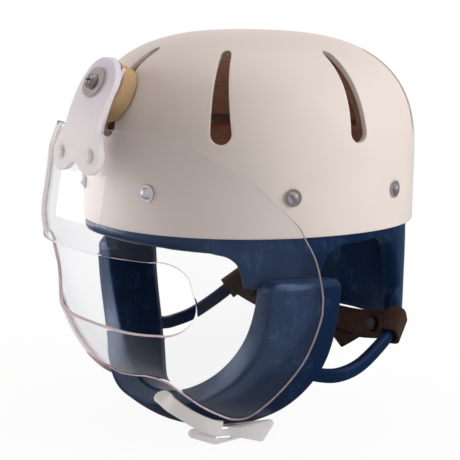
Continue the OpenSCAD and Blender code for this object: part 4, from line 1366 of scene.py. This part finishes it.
def make_lamps(light):
    """Three soft lamps round the helmet and a faint one inside, for what shows through the slots."""
    for name, place, size, power, aim in (
            ("right_softbox", (1.3, 1.1, 0.8), 1.2, light.side_power, (0, 0, 0.02)),
            ("top_softbox", (-0.2, 0.2, 1.7), 1.3, light.top_power, (0, 0, 0)),
            ("left_softbox", (-1.45, -1.1, 0.3), 1.0, light.front_power, (0, 0, -0.03))):
        bpy.ops.object.light_add(type="AREA", location=place)
        lamp = bpy.context.object
        lamp.name = name
        lamp.data.shape = "SQUARE"
        lamp.data.size = size
        lamp.data.energy = power
        lamp.visible_glossy = False
        lamp.rotation_euler = (Vector(aim) - Vector(place)).to_track_quat("-Z", "Y").to_euler()
    bpy.ops.object.light_add(type="SPOT", location=(0, 0, 0.03), rotation=(math.pi, 0, 0))
    glow = bpy.context.object
    glow.name = "light_through_the_slots"
    glow.data.energy = light.inner_power
    glow.data.spot_size = math.radians(150)
    glow.data.spot_blend = 1
    glow.data.shadow_soft_size = 0.04


def make_camera():
    """Camera at the photograph's place."""
    out = Vector((
        sin(CAMERA_TURN) * cos(CAMERA_LIFT), -cos(CAMERA_TURN) * cos(CAMERA_LIFT), sin(CAMERA_LIFT)))
    right = Vector((cos(CAMERA_TURN), sin(CAMERA_TURN), 0))
    up = out.cross(right)
    side = right * cos(CAMERA_ROLL) + up * sin(CAMERA_ROLL)
    rise = up * cos(CAMERA_ROLL) - right * sin(CAMERA_ROLL)
    bpy.ops.object.camera_add()
    camera = bpy.context.object
    camera.name = "photo_camera"
    camera.data.lens = CAMERA_LENS
    camera.data.sensor_width = 36
    matrix = Matrix((side, rise, out)).transposed().to_4x4()
    matrix.translation = Vector(CAMERA_AIM) + out * CAMERA_AWAY
    camera.matrix_world = matrix
    bpy.context.scene.camera = camera
    bpy.context.scene.view_settings.view_transform = "Standard"


# Add-on

class HelmetSizes(bpy.types.PropertyGroup):
    """Thicknesses of the sheet and plate pieces."""

    shell: bpy.props.FloatProperty(
        name="Shell", description="Thickness of the hard shell", default=WALL * MM, unit="LENGTH")
    shield: bpy.props.FloatProperty(
        name="Shield", description="Thickness of the clear sheet", default=SHIELD_T * MM, unit="LENGTH")
    bracket: bpy.props.FloatProperty(
        name="Bracket", description="Thickness of the milky plate", default=BRACKET_T * MM, unit="LENGTH")
    webbing: bpy.props.FloatProperty(
        name="Webbing", description="Thickness of the nape webbing", default=WEBBING_THICK * MM,
        unit="LENGTH")


class HelmetColours(bpy.types.PropertyGroup):
    """Colours of the helmet's finishes, as sRGB hex values."""

    shell: bpy.props.StringProperty(
        name="Shell", description="Satin shell", default="#e2d8d3")
    vinyl: bpy.props.StringProperty(
        name="Vinyl", description="Dipped vinyl of the padding", default="#0c2546")
    # The worn vinyl colour shows both real scuffs and the painted sheen where the vinyl is seen edge on
    vinyl_worn_and_edge_lit: bpy.props.StringProperty(
        name="Worn vinyl", description="Vinyl where it is scuffed", default="#44648f")
    lining: bpy.props.StringProperty(
        name="Lining", description="Brushed lining inside the shell", default="#8a5c49")
    sheet: bpy.props.StringProperty(
        name="Shield", description="Clear face shield", default="#fbfbfc")
    edge: bpy.props.StringProperty(
        name="Shield edge", description="Polished edges of the shield", default="#e2cdd1")
    # The bracket colour is the plate's top, greyed by painted shade; lower down the plate is painted paler
    bracket: bpy.props.StringProperty(
        name="Bracket", description="Milky bracket plate", default="#e6e0ef")
    foam: bpy.props.StringProperty(
        name="Spacer", description="Foam behind the bracket", default="#b2956f")
    metal: bpy.props.StringProperty(
        name="Screw", description="Screw, washers and nut", default="#b9b5b5")
    rivets: bpy.props.StringProperty(
        name="Rivets", description="Shell rivets and their rings", default="#aaa4b0")
    webbing: bpy.props.StringProperty(
        name="Webbing", description="Nape webbing", default="#140807")
    webbing_lit: bpy.props.StringProperty(
        name="Webbing thread", description="Lit threads", default="#5e3d35")
    strap: bpy.props.StringProperty(
        name="Chin strap", description="Chin strap and keeper", default="#faf9f8")
    snap: bpy.props.StringProperty(
        name="Snap", description="Snap caps", default="#160c0b")


class HelmetStage(bpy.types.PropertyGroup):
    """Light of the studio round the helmet."""

    room_light: bpy.props.FloatProperty(
        name="Room light", description="Strength of the even light from all round", default=0.35,
        min=0, max=1)
    side_power: bpy.props.FloatProperty(
        name="Side lamp", description="Power of the soft lamp at the helmet's rear left", default=22,
        unit="POWER")
    top_power: bpy.props.FloatProperty(
        name="Top lamp", description="Power of the soft lamp above", default=9, unit="POWER")
    front_power: bpy.props.FloatProperty(
        name="Front lamp", description="Power of the soft lamp at the face", default=15, unit="POWER")
    inner_power: bpy.props.FloatProperty(
        name="Inner glow", description="Power of the light that the slots let into the crown",
        default=0.12, unit="POWER")


def dress(piece, slot, node, body, *materials):
    """Gives a finished piece its body and its materials, and hides the CAD node it stands for. The slot is
    not used.
    """
    coat(piece, *materials)
    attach(piece, body)
    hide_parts(node)


class MakeShell(bpy.types.Operator):
    """Moulds the hard shell with its eight vent slots"""

    bl_idname = "helmet.shell"
    bl_label = "Hard shell"

    def execute(self, context):
        finish = satin_abs(context.scene.helmet_colours.shell)
        wall = context.scene.helmet_sizes.shell / MM
        dress(make_shell(wall), "shell_white", "outer_shell", "helmet", finish)
        return {"FINISHED"}


class MakePadding(bpy.types.Operator):
    """Shapes the dipped skirt, the chin guard and the two ear loops"""

    bl_idname = "helmet.padding"
    bl_label = "Skirt, chin guard and ear loops"

    def execute(self, context):
        colours = context.scene.helmet_colours
        finish = dipped_vinyl(colours.vinyl, colours.vinyl_worn_and_edge_lit)
        left, right = make_ear_loops()
        for piece, node in (
                (make_skirt(), "skirt_liner"), (make_chin_guard(), "chin_guard"), (left, "ear_loop_left"),
                (right, "ear_loop_right")):
            dress(piece, "navy_vinyl", node, "helmet", finish)
        return {"FINISHED"}


class MakeLining(bpy.types.Operator):
    """Makes the brown headband and crown cushions inside the shell"""

    bl_idname = "helmet.lining"
    bl_label = "Lining pads"

    def execute(self, context):
        finish = lining_cloth(context.scene.helmet_colours.lining)
        for piece, node in zip(make_pads(), ("headband_pad", "crown_pad")):
            dress(piece, "brown_lining", node, "helmet", finish)
        return {"FINISHED"}


class MakeGuard(bpy.types.Operator):
    """Forms the clear shield, its milky bracket and the foam spacer behind it"""

    bl_idname = "helmet.guard"
    bl_label = "Clear shield and bracket"

    def execute(self, context):
        colours = context.scene.helmet_colours
        sizes = context.scene.helmet_sizes
        sheet = sizes.shield / MM
        dress(
            make_shield(sheet), "clear_sheet", "face_shield", "face_guard", clear_sheet(colours.sheet),
            cut_edge(colours.edge))
        dress(
            make_bracket(sizes.bracket / MM), "milky_plastic", "guard_bracket", "face_guard",
            milky_plastic(colours.bracket))
        spacer = make_spacer(sheet)
        dress(spacer, "tan_foam", "spacer_block", "face_guard", closed_cell_foam(colours.foam))
        return {"FINISHED"}


class MakeStraps(bpy.types.Operator):
    """Makes the nape webbing, the chin strap's tongue and its keeper"""

    bl_idname = "helmet.straps"
    bl_label = "Straps"

    def execute(self, context):
        colours = context.scene.helmet_colours
        dress(
            make_webbing(context.scene.helmet_sizes.webbing / MM), "brown_webbing", "nape_strap", "helmet",
            woven_webbing(colours.webbing, colours.webbing_lit))
        finish = soft_white_plastic(colours.strap)
        dress(make_chin_strap(), "white_strap", "chin_strap", "chin_tongue", finish)
        dress(make_keeper(), "white_strap", "strap_keeper", "helmet", finish)
        return {"FINISHED"}


class FinishHardware(bpy.types.Operator):
    """Gives the screw, washers, nut, rivets and snaps their finishes"""

    bl_idname = "helmet.hardware"
    bl_label = "Screw, rivets and snaps"

    def execute(self, context):
        colours = context.scene.helmet_colours
        screw = bright_metal(colours.metal, "zinc_plated_steel", 0.22)
        rivet = bright_metal(colours.rivets, "tumbled_aluminium", 0.34)
        milky = milky_plastic(colours.bracket)
        snap = dark_snap(colours.snap)
        for name, node in frame["nodes"].items():
            if name in ("guard_screw", "screw_washer", "inner_washer", "lock_nut"):
                coat(node, screw)
            elif name.startswith(("shell_rivet", "rivet_ring", "rivet_backing")):
                coat(node, rivet)
            elif name.startswith("bracket_rivet"):
                coat(node, milky)
            elif name.startswith("snap_cap"):
                coat(node, snap)
            else:
                continue
            smooth(node, angle=35)
        return {"FINISHED"}


class MakeStage(bpy.types.Operator):
    """Sets the floor, the surroundings, the lamps and the camera"""

    bl_idname = "helmet.stage"
    bl_label = "Stage"

    def execute(self, context):
        light = context.scene.helmet_stage
        make_floor()
        make_world(light.room_light)
        make_lamps(light)
        make_camera()
        return {"FINISHED"}


STEPS = (MakeShell, MakePadding, MakeLining, MakeGuard, MakeStraps, FinishHardware, MakeStage)


class HelmetPanel(bpy.types.Panel):
    """Lists the helmet's pieces, sizes, colours and light"""

    bl_idname = "VIEW3D_PT_helmet"
    bl_label = "Protective helmet"
    bl_space_type = "VIEW_3D"
    bl_region_type = "UI"
    bl_category = "Helmet"

    def draw(self, context):
        for step in STEPS:
            self.layout.operator(step.bl_idname)
        scene = context.scene
        for group in (scene.helmet_sizes, scene.helmet_colours, scene.helmet_stage):
            for name in group.bl_rna.properties.keys():
                if name not in ("rna_type", "name"):
                    self.layout.prop(group, name)


CLASSES = (HelmetSizes, HelmetColours, HelmetStage) + STEPS + (HelmetPanel,)


def register():
    for kind in CLASSES:
        bpy.utils.register_class(kind)
    bpy.types.Scene.helmet_sizes = bpy.props.PointerProperty(type=HelmetSizes)
    bpy.types.Scene.helmet_colours = bpy.props.PointerProperty(type=HelmetColours)
    bpy.types.Scene.helmet_stage = bpy.props.PointerProperty(type=HelmetStage)


def unregister():
    del bpy.types.Scene.helmet_stage
    del bpy.types.Scene.helmet_colours
    del bpy.types.Scene.helmet_sizes
    for kind in reversed(CLASSES):
        bpy.utils.unregister_class(kind)


def main():
    register()
    for step in STEPS:
        group, name = step.bl_idname.split(".")
        getattr(getattr(bpy.ops, group), name)()


if __name__ == "__main__":
    main()
